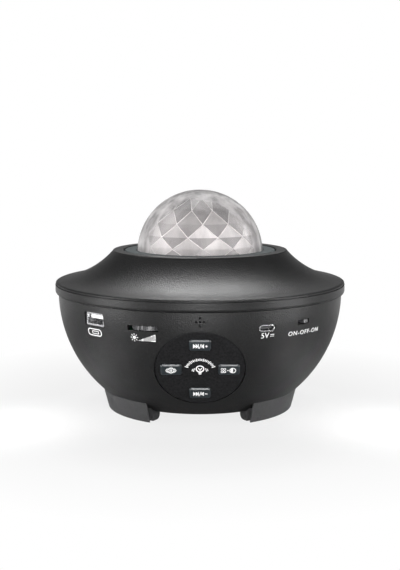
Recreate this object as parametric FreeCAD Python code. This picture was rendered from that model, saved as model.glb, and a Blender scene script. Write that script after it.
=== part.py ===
"""Star night light projector: a round table-top case with a turning faceted dome.

Millimetres. +Z is up, the front is towards -Y, and the origin is on the table
under the middle of the case. Azimuths are in degrees from the front, positive
towards +X.
"""
import FreeCAD, Part
import math
import os

from FreeCAD import Placement, Rotation, Vector

# Case
RIM_R = 84.0
WALL = 2.5
FLOOR_Z = 6.0
SEAM_Z = 67.5
BOWL_ARC_R = 75.0
BOWL_ARC_RISE = 0.5
RIM_OVERHANG = 1.8
LID_H = 24.55
RIM_H = 7.1
PLATEAU_W = 5.8
FLARE_R = 52.0
RIM_ROUND = 1.7
RIM_GROOVE_Z = 5.5
RIM_GROOVE_H = 0.6
RIM_GROOVE_D = 0.6
LIP_H = 3.0
LIP_GAP = 0.3
EDGE = 0.5

# Dome and the collar that carries it
DOME_R = 36.5
DOME_WALL = 2.5
DOME_FACET_R = DOME_R - DOME_WALL
DOME_DROP = 1.9
DOME_SIDES = 12
DOME_TURN = 3.1
DOME_ROWS = (-1.5, 8.0, 19.0, 32.5, 49.0, 70.0)
DOME_FLANGE_W = 4.5
DOME_FLANGE_T = 2.0
COLLAR_W = 7.0
COLLAR_T = 2.5
COLLAR_SINK = 0.15
COLLAR_GAP = 0.6
FIT_GAP = 0.3

# Turning gear train
GEAR_MODULE = 0.8
RING_TEETH = 90
PINION_TEETH = 15
GEAR_FACE = 6.0
GEAR_WEB_T = 2.5
GEAR_RIM_T = 3.0
BACKLASH = 0.12
BEARING_GAP = 0.08
HUB_WALL = 2.4
LIP_OVER_GEAR = 1.4
RETAINER_T = 1.5
AXIAL_GAP = 0.1
DECK_T = 2.5
DECK_LEDGE = 4.5
MOTOR_AZ = 90.0
MOTOR_R = 12.0
MOTOR_H = 18.0
MOTOR_EAR_T = 2.0
MOTOR_EAR_PITCH = 31.0
MOTOR_BOSS_R = 4.5
MOTOR_BOSS_H = 1.2
SHAFT_R = 2.0
SHAFT_GAP = 0.05

# Light engine under the dome
SINK_PLATE_T = 2.5
SINK_FIN_H = 12.5
SINK_FIN_T = 1.4
SINK_FIN_PITCH = 5.0
BOARD_T = 1.6
LED_RING_R = 15.0
LED_COUNT = 4
LED_SIDE = 5.0
LED_T = 0.8
LED_DOME_R = 1.2
LENS_LOW_R = 3.4
LENS_TOP_R = 8.0
LENS_H = 7.6
TRAY_T = 1.5
TRAY_H = 4.0
LASER_R = 4.6
LASER_LEN = 18.0
LASER_TOP = 5.1
LASER_LENS_R = 3.6
LASER_LENS_T = 1.0
RECEIVER_W = 5.0
RECEIVER_D = 3.6
RECEIVER_H = 5.2
RECEIVER_R = 22.5

# Round control panel on the front
PANEL_R = 23.8
PANEL_UNDER_MIC = 5.3
PANEL_T = 3.0
PANEL_SKIN = 1.4
PANEL_GAP = 0.25
PANEL_SEAT_T = 2.0
PANEL_EDGE = 0.3
BUTTON_W = 11.2
BUTTON_H = 6.8
BUTTON_ROUND = 1.2
BUTTON_BEVEL = 0.6
BUTTON_PROUD = 0.8
BUTTON_FLANGE = 1.1
BUTTON_FLANGE_T = 0.8
BUTTON_V = 15.95
BUTTON_U = 15.2
BUTTON_DROP = 0.7
KEY_SIDE = 6.0
KEY_OPENING = 7.0
KEY_T = 1.6
KEY_WELL_R = 1.8
KEY_WELL_DEPTH = 1.2
NUB_R = 1.6
BUTTON_BOARD_R = 21.5
BUTTON_SCREW_R = 18.8

# Sockets and sliders on the wall above the panel
BOARD_DROP = 11.1
BOARD_INSET = 8.0
BOARD_BACK_Y = -32.0
BOARD_NOTCH_HALF = 19.5
BOARD_NOTCH_DEEP = 10.0
BOARD_POST_IN = 6.7
BOARD_POST_EDGE = 6.0
BOARD_POST_STEP = 4.0
SOCKET_SINK = 0.9
USB_C_PROUD = 0.5
USB_A_AZ = -43.8
USB_A_UP = 3.9
USB_A_CUT_W = 15.1
USB_A_CUT_H = 7.4
USB_A_MOUTH_W = 12.5
USB_A_MOUTH_H = 5.12
USB_A_LEN = 14.0
USB_A_LIP_SIDE = 0.6
USB_A_BASE = 3.2
USB_SHEET = 0.35
USB_A_TONGUE_W = 11.1
USB_A_TONGUE_T = 1.84
USB_A_TONGUE_LEN = 8.8
USB_C_AZ = 25.4
USB_C_UP = 1.8
USB_C_CUT_W = 10.1
USB_C_CUT_H = 4.1
USB_C_W = 8.94
USB_C_H = 3.26
USB_C_LEN = 7.4
USB_C_TONGUE_W = 6.7
USB_C_TONGUE_T = 0.7
USB_C_TONGUE_LEN = 4.6
DIMMER_AZ = -21.4
DIMMER_UP = 2.0
DIMMER_SLOT_W = 17.3
DIMMER_SLOT_H = 2.9
WHEEL_R = 9.0
WHEEL_T = 2.3
WHEEL_SINK = 0.3
WHEEL_RIBS = 48
WHEEL_RIB_H = 0.5
WHEEL_NOTCH = 2.4
WHEEL_NOTCH_AT = -6.4
WHEEL_BASE_R = 6.5
WHEEL_PIN_R = 1.5
WHEEL_RIVET_R = 2.8
WHEEL_RIVET_T = 0.6
SWITCH_AZ = 42.2
SWITCH_UP = 3.1
SWITCH_SLOT_W = 8.5
SWITCH_SLOT_H = 2.7
SWITCH_BODY_W = 12.5
SWITCH_BODY_D = 5.5
SWITCH_BODY_H = 5.2
SWITCH_KNOB_W = 2.7
SWITCH_KNOB_H = 2.1
SWITCH_TRAVEL = 4.8
SLIDER_GAP = 0.25
SWITCH_GAP = 0.2
MIC_DROP = 4.5
MIC_PITCH = 2.0
MIC_HOLE_R = 0.6
MIC_R = 2.0
MIC_T = 1.6
MIC_BOOT_WALL = 1.0
MIC_BOOT_LEN = 3.6
MIC_RAISE = 0.4

# Parts on the main board: side or radius, height, distance from its rim, azimuth
CHIPS = ((10.0, 1.6, 24.0, -2.2), (5.6, 1.5, 13.2, -37.2), (5.6, 1.5, 16.5, 42.3))
CAPACITORS = ((2.5, 7.0, 16.8, 11.7), (2.5, 7.0, 16.6, -12.6), (3.15, 8.0, 27.7, 39.1))
COIL_SIDE = 6.0
COIL_H = 3.0
COIL_IN = 14.4
COIL_AZ = 32.4
HEADER_W = 7.4
HEADER_D = 5.0
HEADER_H = 5.6
HEADER_WALL = 0.8
HEADER_IN = 4.5
HEADER_PITCH = 12.0

# Loudspeaker in the floor
SPEAKER_R = 29.0
SPEAKER_CONE_R = 22.5
SPEAKER_FLANGE_T = 1.2
SPEAKER_GASKET_T = 0.6
SPEAKER_BASKET_H = 9.5
SPEAKER_NECK_R = 13.0
SPEAKER_SHEET = 0.9
SPEAKER_SCREW_R = 26.5
MAGNET_R = 16.0
MAGNET_H = 9.0
CHAMBER_H = 4.5
GRILLE_HOLE_R = 1.2
GRILLE_PITCH = 4.7
GRILLE_RINGS = 4

# Feet, posts and screws
POST_SIDE_R = 3.2
BOSS_SIDE_R = 4.2
BOSS_H = 10.0
FOOT_ANGLE = 58.0
SCREW_PASS = 0.2
FOOT_INNER = 4.1
FOOT_OUTER_LOW = 6.4
FOOT_OUTER_TOP = 9.5
FOOT_ROUND = 3.0
FOOT_CLEAR = 0.5
FOOT_POCKET_W = 3.0
FOOT_POCKET_DEEP = 5.0
FOOT_SKIN = 0.8
PAD_T = 2.0
PAD_ANGLE = 44.0
PAD_HALF_W = 3.4
CASE_SCREW_R = 1.5
CASE_SCREW_HEAD_R = 2.8
CASE_SCREW_HEAD_H = 2.2
CASE_SCREW_LEN = 20.0
SMALL_SCREW_R = 1.2
SMALL_SCREW_HEAD_R = 2.2
SMALL_SCREW_HEAD_H = 1.5
SMALL_SCREW_LEN = 6.0
TINY_SCREW_R = 0.9
TINY_SCREW_HEAD_R = 1.7
TINY_SCREW_HEAD_H = 1.0
TINY_SCREW_LEN = 4.2
SCREW_GAP = 0.05
DECK_BOSS_OUT = 4.9

FOOT_AZIMUTHS = {"left": -60.0, "right": 60.0, "rear": 180.0}
DECK_AZIMUTHS = (0.0, 120.0, -120.0)
ROTOR_AZIMUTHS = (30.0, 150.0, 270.0)

# Places that follow from the sizes above
BOWL_LIP_R = RIM_R - RIM_OVERHANG
BOWL_CR = BOWL_LIP_R - math.sqrt(BOWL_ARC_R ** 2 - BOWL_ARC_RISE ** 2)
BOWL_CZ = SEAM_Z + BOWL_ARC_RISE
PLATEAU_Z = SEAM_Z + LID_H
COLLAR_TOP = PLATEAU_Z - COLLAR_SINK
COLLAR_IN_R = DOME_R + FIT_GAP
COLLAR_OUT_R = COLLAR_IN_R + COLLAR_W
LID_OPEN_R = COLLAR_OUT_R + COLLAR_GAP
FLANGE_TOP = COLLAR_TOP - COLLAR_T
WEB_TOP = FLANGE_TOP - DOME_FLANGE_T
WEB_LOW = WEB_TOP - GEAR_WEB_T
GEAR_LOW = WEB_LOW - GEAR_FACE
DECK_TOP = GEAR_LOW - AXIAL_GAP
DECK_LOW = DECK_TOP - DECK_T
HUB_TOP = WEB_LOW + 2 * AXIAL_GAP
RING_PITCH_R = GEAR_MODULE * RING_TEETH / 2
PINION_PITCH_R = GEAR_MODULE * PINION_TEETH / 2
MOTOR_AXIS_R = RING_PITCH_R + PINION_PITCH_R
RING_BORE_R = RING_PITCH_R - 1.25 * GEAR_MODULE - GEAR_RIM_T
HUB_OUT_R = RING_BORE_R - BEARING_GAP
HUB_IN_R = HUB_OUT_R - HUB_WALL
RETAINER_R = RING_BORE_R + LIP_OVER_GEAR
WEB_IN_R = RETAINER_R + FIT_GAP
FLANGE_R = DOME_R + DOME_FLANGE_W
DOME_Z = COLLAR_TOP - DOME_DROP
LED_BOARD_LOW = DECK_TOP + SINK_PLATE_T
LED_BOARD_TOP = LED_BOARD_LOW + BOARD_T
POST_R = LID_OPEN_R + POST_SIDE_R
DECK_BOSS_R = POST_R + DECK_BOSS_OUT
BOSS_TOP = FLOOR_Z + WALL + BOSS_H
SPEAKER_SEAT_Z = FLOOR_Z + WALL + CHAMBER_H
SPEAKER_FLANGE_Z = SPEAKER_SEAT_Z + SPEAKER_GASKET_T
PANEL_DEEP = PANEL_T + PANEL_SEAT_T
MIC_Z = SEAM_Z - MIC_DROP
PANEL_TOP_DIP = math.asin((BOWL_CZ - MIC_Z + PANEL_UNDER_MIC) / BOWL_ARC_R)
PANEL_TILT = math.degrees(PANEL_TOP_DIP + math.asin(PANEL_R / BOWL_ARC_R))
BUTTONS = {
    "volume_up_button": (0.0, BUTTON_V - BUTTON_DROP),
    "volume_down_button": (0.0, -BUTTON_V - BUTTON_DROP),
    "power_button": (-BUTTON_U, -BUTTON_DROP),
    "mode_button": (BUTTON_U, -BUTTON_DROP),
}
BOARD_TOP_Z = SEAM_Z - BOARD_DROP
BOARD_R = RIM_R - BOARD_INSET
USB_A_Z = BOARD_TOP_Z + USB_A_UP
USB_C_Z = BOARD_TOP_Z + USB_C_UP
DIMMER_Z = BOARD_TOP_Z + DIMMER_UP
SWITCH_Z = BOARD_TOP_Z + SWITCH_UP
BOARD_POST_Y = BOARD_BACK_Y - BOARD_POST_EDGE
BOARD_POST_X = math.sqrt((BOARD_R - BOARD_POST_IN) ** 2 - BOARD_POST_Y ** 2)
BOARD_POST_U = BOARD_NOTCH_HALF + BOARD_POST_STEP / 2
BOARD_POST_V = BOARD_POST_Y - BOARD_POST_STEP
BOARD_POSTS = ((BOARD_POST_X, BOARD_POST_Y), (-BOARD_POST_X, BOARD_POST_Y),
               (BOARD_POST_U, BOARD_POST_V), (-BOARD_POST_U, BOARD_POST_V))
SWITCH_FRONT_R = BOARD_R - SWITCH_GAP
SWITCH_KNOB_AT = SWITCH_TRAVEL / 2


def bowl_radius(z, thinner=0.0):
    """Radius of the bowl's outside at a height, or of a surface inside it."""
    return BOWL_CR + math.sqrt((BOWL_ARC_R - thinner) ** 2 - (BOWL_CZ - z) ** 2)


def bowl_height(r):
    """Height of the bowl's outside at a radius."""
    return BOWL_CZ - math.sqrt(BOWL_ARC_R ** 2 - (r - BOWL_CR) ** 2)


def point(r, z):
    return Vector(r, 0, z)


def line(start, end):
    return Part.makeLine(start, end)


def bulged(start, end, bulge):
    """Arc from start to end that stands out by bulge, to the left of its way."""
    along = end.sub(start)
    across = Vector(-along.z, 0, along.x).normalize()
    middle = start.add(end).multiply(0.5).add(across.multiply(bulge))
    return Part.Arc(start, middle, end).toShape()


def round_arc(centre, radius, start, end):
    """Arc about a centre, from start to end, by way of the point between them."""
    toward = start.add(end).multiply(0.5).sub(centre).normalize()
    return Part.Arc(start, centre.add(toward.multiply(radius)), end).toNurbs().toShape()


def spun(edges, angle=360.0):
    """Solid of revolution about the upright axis."""
    face = Part.Face(Part.Wire(edges))
    return face.revolve(Vector(0, 0, 0), Vector(0, 0, 1), angle)


def spun_points(points, angle=360.0):
    corners = [point(r, z) for r, z in points]
    corners.append(corners[0])
    return spun(Part.makePolygon(corners).Edges, angle)


def disc(radius, low, high, x=0.0, y=0.0):
    return Part.makeCylinder(radius, high - low, Vector(x, y, low))


def ring(inner, outer, low, high):
    return disc(outer, low, high).cut(disc(inner, low - 1, high + 1))


def spot(radius, azimuth):
    """Plan position at a radius and an azimuth from the front."""
    turn = math.radians(azimuth)
    return radius * math.sin(turn), -radius * math.cos(turn)


def block(width, depth, low, high, x=0.0, y=0.0):
    return Part.makeBox(width, depth, high - low, Vector(x - width / 2, y - depth / 2, low))


def rounded_bar(width, height, corner, low, high, x=0.0, y=0.0):
    """Bar with rounded corners, standing along Z."""
    radius = min(corner, width / 2 - 0.01, height / 2 - 0.01)
    bar = block(width, height, low, high, x, y)
    upright = [e for e in bar.Edges if abs(e.Vertexes[0].Z - e.Vertexes[1].Z) > (high - low) / 2]
    return bar.makeFillet(radius, upright)


def joined(shapes):
    first, *rest = shapes
    return first.fuse(rest).removeSplitter() if rest else first


def group(shapes):
    return Part.makeCompound(shapes)


def placed(shape, place):
    """Copy of a shape, carried to a place from wherever it lies now."""
    moved = shape.copy()
    moved.Placement = place.multiply(moved.Placement)
    return moved


def turned(shape, angle, x=0.0, y=0.0):
    """Copy of a shape, turned about an upright line through a plan position."""
    moved = shape.copy()
    moved.rotate(Vector(x, y, 0), Vector(0, 0, 1), angle)
    return moved


def on_wall(shape, azimuth, height):
    """From (right, up, outward from the axis) to a place on the case wall."""
    turn = Rotation(Vector(0, 0, 1), azimuth).multiply(Rotation(Vector(1, 0, 0), 90))
    return placed(shape, Placement(Vector(0, 0, height), turn))


def panel_centre():
    """Middle of the round panel's face: where its rim circle meets the bowl."""
    tilt = math.radians(PANEL_TILT)
    reach = math.sqrt(BOWL_ARC_R ** 2 - PANEL_R ** 2)
    return Vector(0, -(BOWL_CR + reach * math.cos(tilt)), BOWL_CZ - reach * math.sin(tilt))


def on_panel(shape):
    """From (right, up the slope, outward) to a place on the round panel."""
    return placed(shape, Placement(panel_centre(), Rotation(Vector(1, 0, 0), 90 + PANEL_TILT)))


def screw(radius, length, head_r, head_h, low):
    """Upright screw whose head lies at the bottom, with a crossed recess."""
    body = disc(head_r, low, low + head_h).fuse(disc(radius, low + head_h, low + head_h + length))
    deep = low + 0.45 * head_h
    arm = 0.35 * head_r
    cross = [block(3.4 * arm, arm, low - 1, deep), block(arm, 3.4 * arm, low - 1, deep)]
    return body.cut(cross)


def flipped(shape, height):
    """Turn a piece over, so that what was at height 0 looks up at the height."""
    return placed(shape, Placement(Vector(0, 0, height), Rotation(Vector(1, 0, 0), 180)))


def moved_to(shape, x, y, z=0.0):
    return placed(shape, Placement(Vector(x, y, z), Rotation()))


def bowl_solid(thinner, floor, top, lip_r):
    """Filled bowl at the case surface or inside it, with a straight lip on top."""
    low = point(bowl_radius(floor, thinner), floor)
    edge = point(bowl_radius(SEAM_Z, thinner), SEAM_Z)
    bowl = spun([
        line(point(0, floor), low),
        round_arc(point(BOWL_CR, BOWL_CZ), BOWL_ARC_R - thinner, low, edge),
        line(edge, point(0, SEAM_Z)),
        line(point(0, SEAM_Z), point(0, floor)),
    ])
    return bowl.fuse(disc(lip_r, SEAM_Z, top))


def lower_shell():
    """Bowl with its floor, panel seat, wall openings, bosses and sound holes."""
    outside = bowl_solid(0, FLOOR_Z, SEAM_Z + LIP_H, RIM_R - WALL - LIP_GAP)
    inside_r = bowl_radius(SEAM_Z, WALL)
    inside = bowl_solid(WALL, FLOOR_Z + WALL, SEAM_Z + LIP_H + 1, inside_r)
    extra = [on_panel(disc(PANEL_R + PANEL_GAP + 1.0, -PANEL_DEEP, 0))]
    mic_z = MIC_Z + MIC_RAISE
    mic_out = MIC_R + MIC_BOOT_WALL + SCREW_GAP
    mic_back = bowl_radius(MIC_Z, WALL) - MIC_BOOT_LEN
    extra.append(on_wall(disc(mic_out + 1.0, mic_back, RIM_R), 0, mic_z))
    for azimuth in FOOT_AZIMUTHS.values():
        extra.append(disc(BOSS_SIDE_R, FLOOR_Z, BOSS_TOP, *spot(POST_R, azimuth)))
    for x, y in BOARD_POSTS:
        extra.append(disc(BOSS_SIDE_R - 1, FLOOR_Z, BOARD_TOP_Z - BOARD_T, x, y))
    extra.append(ring(SPEAKER_CONE_R + 0.5, SPEAKER_R, FLOOR_Z, SPEAKER_SEAT_Z))
    core = bowl_solid(WALL / 2, FLOOR_Z + WALL / 2, SEAM_Z, 1.0)
    shell = outside.cut(inside).fuse([e.common(core) for e in extra])
    cuts = [on_panel(disc(PANEL_R + PANEL_GAP, -PANEL_T, 30))]
    for u, v in BUTTONS.values():
        cuts.append(on_panel(block(KEY_OPENING, KEY_OPENING, -PANEL_DEEP - 1, 0, u, v)))
    for u, v in button_screw_spots():
        cuts.append(on_panel(disc(TINY_SCREW_R + SCREW_GAP, -PANEL_DEEP - 1, 0.3 - PANEL_T, u, v)))
    mic_floor = bowl_radius(MIC_Z, WALL)
    cuts.append(on_wall(disc(mic_out, mic_back - 5, mic_floor), 0, mic_z))
    for u, v in ((0, 0), (1, 0), (-1, 0), (0, 1), (0, -1)):
        hole = disc(MIC_HOLE_R, mic_floor - 1, RIM_R, u * MIC_PITCH, v * MIC_PITCH)
        cuts.append(on_wall(hole, 0, MIC_Z))
    cuts += wall_openings()
    for azimuth in FOOT_AZIMUTHS.values():
        cuts.append(disc(CASE_SCREW_R + SCREW_PASS, 0, BOSS_TOP + 1, *spot(POST_R, azimuth)))
    for x, y in BOARD_POSTS:
        top = BOARD_TOP_Z - BOARD_T
        cuts.append(disc(SMALL_SCREW_R + SCREW_GAP, top - SMALL_SCREW_LEN, top + 1, x, y))
    for x, y in speaker_screw_spots():
        low = SPEAKER_SEAT_Z - SMALL_SCREW_LEN + 1
        cuts.append(disc(SMALL_SCREW_R + SCREW_GAP, low, SPEAKER_SEAT_Z + 1, x, y))
    for count in range(GRILLE_RINGS + 1):
        for step in range(max(1, 6 * count)):
            x, y = spot(count * GRILLE_PITCH, 60.0 * step / max(1, count))
            cuts.append(disc(GRILLE_HOLE_R, FLOOR_Z - 1, FLOOR_Z + WALL + 1, x, y))
    return shell.cut(cuts)


def wall_openings():
    """Cutouts for the sockets, the dimmer wheel and the power switch."""
    near = BOARD_R - USB_C_LEN
    openings = (
        (USB_A_CUT_W, USB_A_CUT_H, 0.8, USB_A_AZ, USB_A_Z),
        (USB_C_CUT_W, USB_C_CUT_H, USB_C_CUT_H / 2, USB_C_AZ, USB_C_Z),
        (DIMMER_SLOT_W, DIMMER_SLOT_H, 0.5, DIMMER_AZ, DIMMER_Z),
        (SWITCH_SLOT_W, SWITCH_SLOT_H, 0.4, SWITCH_AZ, SWITCH_Z),
    )
    cuts = []
    for width, height, corner, azimuth, z in openings:
        cuts.append(on_wall(rounded_bar(width, height, corner, near, RIM_R + 2), azimuth, z))
    return cuts


def top_cover():
    """Flared lid with its plateau, rim groove, long posts and deck bosses."""
    rim_top = point(RIM_R - RIM_ROUND, SEAM_Z + RIM_H)
    start = point(LID_OPEN_R + PLATEAU_W + EDGE, PLATEAU_Z - EDGE)
    half = rim_top.sub(start).multiply(0.5)
    reach = math.sqrt(FLARE_R ** 2 - half.Length ** 2)
    across = Vector(-half.z, 0, half.x).normalize()
    centre = start.add(half).add(across.multiply(reach))
    deep = FLARE_R + WALL
    inner_r = RIM_R - WALL
    under = PLATEAU_Z - WALL
    inner_low = point(inner_r, centre.z - math.sqrt(deep ** 2 - (centre.x - inner_r) ** 2))
    inner_top = point(centre.x - math.sqrt(deep ** 2 - (centre.z - under) ** 2), under)
    groove_top = SEAM_Z + RIM_GROOVE_Z + RIM_GROOVE_H
    groove_low = SEAM_Z + RIM_GROOVE_Z
    groove_r = RIM_R - RIM_GROOVE_D
    lip = point(RIM_R - EDGE / 2, groove_top + EDGE / 2)
    round_end = point(RIM_R, SEAM_Z + RIM_ROUND)
    round_low = point(RIM_R - RIM_ROUND, SEAM_Z)
    section = [
        line(point(LID_OPEN_R, under), point(LID_OPEN_R, PLATEAU_Z - EDGE)),
        line(point(LID_OPEN_R, PLATEAU_Z - EDGE), point(LID_OPEN_R + EDGE, PLATEAU_Z)),
        line(point(LID_OPEN_R + EDGE, PLATEAU_Z), point(start.x - EDGE, PLATEAU_Z)),
        bulged(point(start.x - EDGE, PLATEAU_Z), start, 0.2 * EDGE),
        round_arc(centre, FLARE_R, start, rim_top),
        bulged(rim_top, lip, 0.3 * EDGE),
        line(lip, point(lip.x, groove_top)),
        line(point(lip.x, groove_top), point(groove_r, groove_top)),
        line(point(groove_r, groove_top), point(groove_r, groove_low)),
        line(point(groove_r, groove_low), point(RIM_R - EDGE / 2, groove_low)),
        line(point(RIM_R - EDGE / 2, groove_low), point(RIM_R, groove_low - EDGE / 2)),
        line(point(RIM_R, groove_low - EDGE / 2), round_end),
        bulged(round_end, round_low, 0.25 * RIM_ROUND),
        line(round_low, point(inner_r, SEAM_Z)),
        line(point(inner_r, SEAM_Z), inner_low),
        round_arc(centre, deep, inner_low, inner_top),
        line(inner_top, point(LID_OPEN_R, under)),
    ]
    skin = spun(section)
    covered = spun([
        line(point(0, BOSS_TOP), point(inner_r, BOSS_TOP)),
        line(point(inner_r, BOSS_TOP), inner_low),
        round_arc(centre, deep, inner_low, inner_top),
        line(inner_top, point(0, under)),
        line(point(0, under), point(0, BOSS_TOP)),
    ])
    posts = []
    holes = []
    for azimuth in FOOT_AZIMUTHS.values():
        x, y = spot(POST_R, azimuth)
        posts.append(disc(POST_SIDE_R, BOSS_TOP, PLATEAU_Z - EDGE, x, y))
        deep_hole = BOSS_TOP + CASE_SCREW_LEN
        holes.append(disc(CASE_SCREW_R + SCREW_GAP, BOSS_TOP - 1, deep_hole, x, y))
    for azimuth in DECK_AZIMUTHS:
        x, y = spot(DECK_BOSS_R, azimuth)
        posts.append(disc(POST_SIDE_R, DECK_TOP, PLATEAU_Z, x, y))
        holes.append(disc(SMALL_SCREW_R + SCREW_GAP, DECK_TOP - 1, DECK_TOP + 4.5, x, y))
    return skin.fuse([p.common(covered) for p in posts]).cut(holes)


def foot(azimuth):
    """Curved block under the bowl, with a pad recess and pockets in its ends."""
    inner = POST_R - FOOT_INNER
    low = POST_R + FOOT_OUTER_LOW
    top_r = POST_R + FOOT_OUTER_TOP
    top = bowl_height(top_r)
    corner = point(inner, FOOT_CLEAR + FOOT_ROUND)
    base = point(inner + FOOT_ROUND, FOOT_CLEAR)
    bottom_r = low + (top_r - low) * FOOT_CLEAR / top
    wedge = spun([
        bulged(base, corner, 0.29 * FOOT_ROUND),
        line(corner, point(inner, top + 2)),
        line(point(inner, top + 2), point(top_r, top + 2)),
        line(point(top_r, top + 2), point(top_r, top)),
        line(point(top_r, top), point(bottom_r, FOOT_CLEAR)),
        line(point(bottom_r, FOOT_CLEAR), base),
    ], FOOT_ANGLE)
    wedge = turned(wedge, azimuth - 90 - FOOT_ANGLE / 2)
    cuts = [bowl_solid(0, FLOOR_Z, SEAM_Z, 1.0)]
    ends = math.degrees(FOOT_POCKET_DEEP / low)
    for start in (-FOOT_ANGLE / 2 - 1, FOOT_ANGLE / 2 - ends):
        pocket = spun_points([
            (low - FOOT_SKIN - FOOT_POCKET_W, 0), (low - FOOT_SKIN, 0),
            (top_r - FOOT_SKIN, top), (top_r - FOOT_SKIN - FOOT_POCKET_W, top),
        ], ends + 1)
        cuts.append(turned(pocket, azimuth - 90 + start))
    cuts.append(foot_pad(azimuth))
    x, y = spot(POST_R, azimuth)
    cuts.append(disc(CASE_SCREW_R + SCREW_PASS, 0, FLOOR_Z + 5, x, y))
    head_top = PAD_T + SLIDER_GAP + CASE_SCREW_HEAD_H
    cuts.append(disc(CASE_SCREW_HEAD_R + 0.3, 0, head_top, x, y))
    return wedge.cut(cuts)


def foot_pad(azimuth):
    """Rubber pad pressed into the underside of a foot."""
    pad = spun_points([
        (POST_R - PAD_HALF_W + EDGE, 0), (POST_R + PAD_HALF_W - EDGE, 0),
        (POST_R + PAD_HALF_W, EDGE), (POST_R + PAD_HALF_W, PAD_T),
        (POST_R - PAD_HALF_W, PAD_T), (POST_R - PAD_HALF_W, EDGE),
    ], PAD_ANGLE)
    return turned(pad, azimuth - 90 - PAD_ANGLE / 2)


def button_screw_spots():
    side = BUTTON_SCREW_R * math.sqrt(0.5)
    return [(u, v - BUTTON_DROP) for u in (-side, side) for v in (-side, side)]


def speaker_screw_spots():
    return [spot(SPEAKER_SCREW_R, azimuth) for azimuth in (45, 135, 225, 315)]


def control_panel():
    """Round plate that fills the seat flush, with four button windows."""
    plate = disc(PANEL_R, -PANEL_T, 0)
    rim = [e for e in plate.Edges if abs(e.BoundBox.ZMin) < 0.001 and abs(e.BoundBox.ZMax) < 0.001]
    plate = plate.makeChamfer(PANEL_EDGE, rim)
    cuts = []
    for u, v in BUTTONS.values():
        gap = PANEL_GAP
        width = BUTTON_W + 2 * gap
        height = BUTTON_H + 2 * gap
        cuts.append(rounded_bar(width, height, BUTTON_ROUND + gap, -PANEL_T - 1, 1, u, v))
        width += 2 * BUTTON_FLANGE
        height += 2 * BUTTON_FLANGE
        cuts.append(rounded_bar(width, height, BUTTON_ROUND, -PANEL_T - 1, -PANEL_SKIN, u, v))
    return on_panel(plate.cut(cuts))


def button(u, v):
    """Rocker cap with a bevelled face, a hidden flange and a nub for its key."""
    flange_top = -PANEL_SKIN - 0.2
    cap = rounded_bar(BUTTON_W, BUTTON_H, BUTTON_ROUND, flange_top, BUTTON_PROUD, u, v)
    face = max(cap.Faces, key=lambda f: f.CenterOfMass.z)
    cap = cap.makeChamfer(BUTTON_BEVEL, face.Edges)
    width = BUTTON_W + 2 * BUTTON_FLANGE
    height = BUTTON_H + 2 * BUTTON_FLANGE
    low = flange_top - BUTTON_FLANGE_T
    flange = rounded_bar(width, height, BUTTON_ROUND, low, flange_top, u, v)
    nub = disc(NUB_R, -PANEL_DEEP + KEY_T - 0.2, low, u, v)
    return on_panel(cap.fuse([flange, nub]))


def button_board():
    board = disc(BUTTON_BOARD_R, -PANEL_DEEP - BOARD_T, -PANEL_DEEP)
    holes = [disc(TINY_SCREW_R + 0.1, -PANEL_DEEP - BOARD_T - 1, 0, u, v)
             for u, v in button_screw_spots()]
    return on_panel(board.cut(holes))


def button_keys():
    """Four low key switches on the button board, each with a round well."""
    keys = []
    for u, v in BUTTONS.values():
        top = KEY_T - PANEL_DEEP
        key = rounded_bar(KEY_SIDE, KEY_SIDE, 0.5, -PANEL_DEEP, top, u, v)
        keys.append(on_panel(key.cut(disc(KEY_WELL_R, top - KEY_WELL_DEPTH, top + 1, u, v))))
    return group(keys)


def button_board_screws():
    low = -PANEL_DEEP - BOARD_T - TINY_SCREW_HEAD_H
    one = screw(TINY_SCREW_R, BOARD_T + PANEL_SEAT_T - 0.4, TINY_SCREW_HEAD_R, TINY_SCREW_HEAD_H, low)
    return group([on_panel(moved_to(one, u, v)) for u, v in button_screw_spots()])


def microphone():
    back = bowl_radius(MIC_Z, WALL) - MIC_BOOT_LEN
    return on_wall(disc(MIC_R, back + 0.5, back + 0.5 + MIC_T), 0, MIC_Z + MIC_RAISE)


def mic_boot():
    """Rubber sleeve that holds the microphone in its socket behind the holes."""
    back = bowl_radius(MIC_Z, WALL) - MIC_BOOT_LEN
    front = bowl_radius(MIC_Z, WALL) - 0.1
    sleeve = ring(MIC_R, MIC_R + MIC_BOOT_WALL, back, front)
    return on_wall(sleeve, 0, MIC_Z + MIC_RAISE)


def main_board():
    """Crescent board that carries every socket and slider along its front edge."""
    board = disc(BOARD_R, BOARD_TOP_Z - BOARD_T, BOARD_TOP_Z)
    back = block(3 * RIM_R, 3 * RIM_R, 0, PLATEAU_Z, 0, BOARD_BACK_Y + 1.5 * RIM_R)
    notch_y = BOARD_NOTCH_DEEP - BOARD_R - RIM_R / 2
    notch = block(2 * BOARD_NOTCH_HALF, RIM_R, 0, PLATEAU_Z, 0, notch_y)
    holes = [disc(SMALL_SCREW_R + SCREW_PASS, 0, PLATEAU_Z, x, y) for x, y in BOARD_POSTS]
    return board.cut([back, notch] + holes)


def main_board_screws():
    low = BOARD_TOP_Z + SMALL_SCREW_HEAD_H
    one = flipped(screw(SMALL_SCREW_R, SMALL_SCREW_LEN, SMALL_SCREW_HEAD_R, SMALL_SCREW_HEAD_H, 0), low)
    return group([moved_to(one, x, y) for x, y in BOARD_POSTS])


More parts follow.
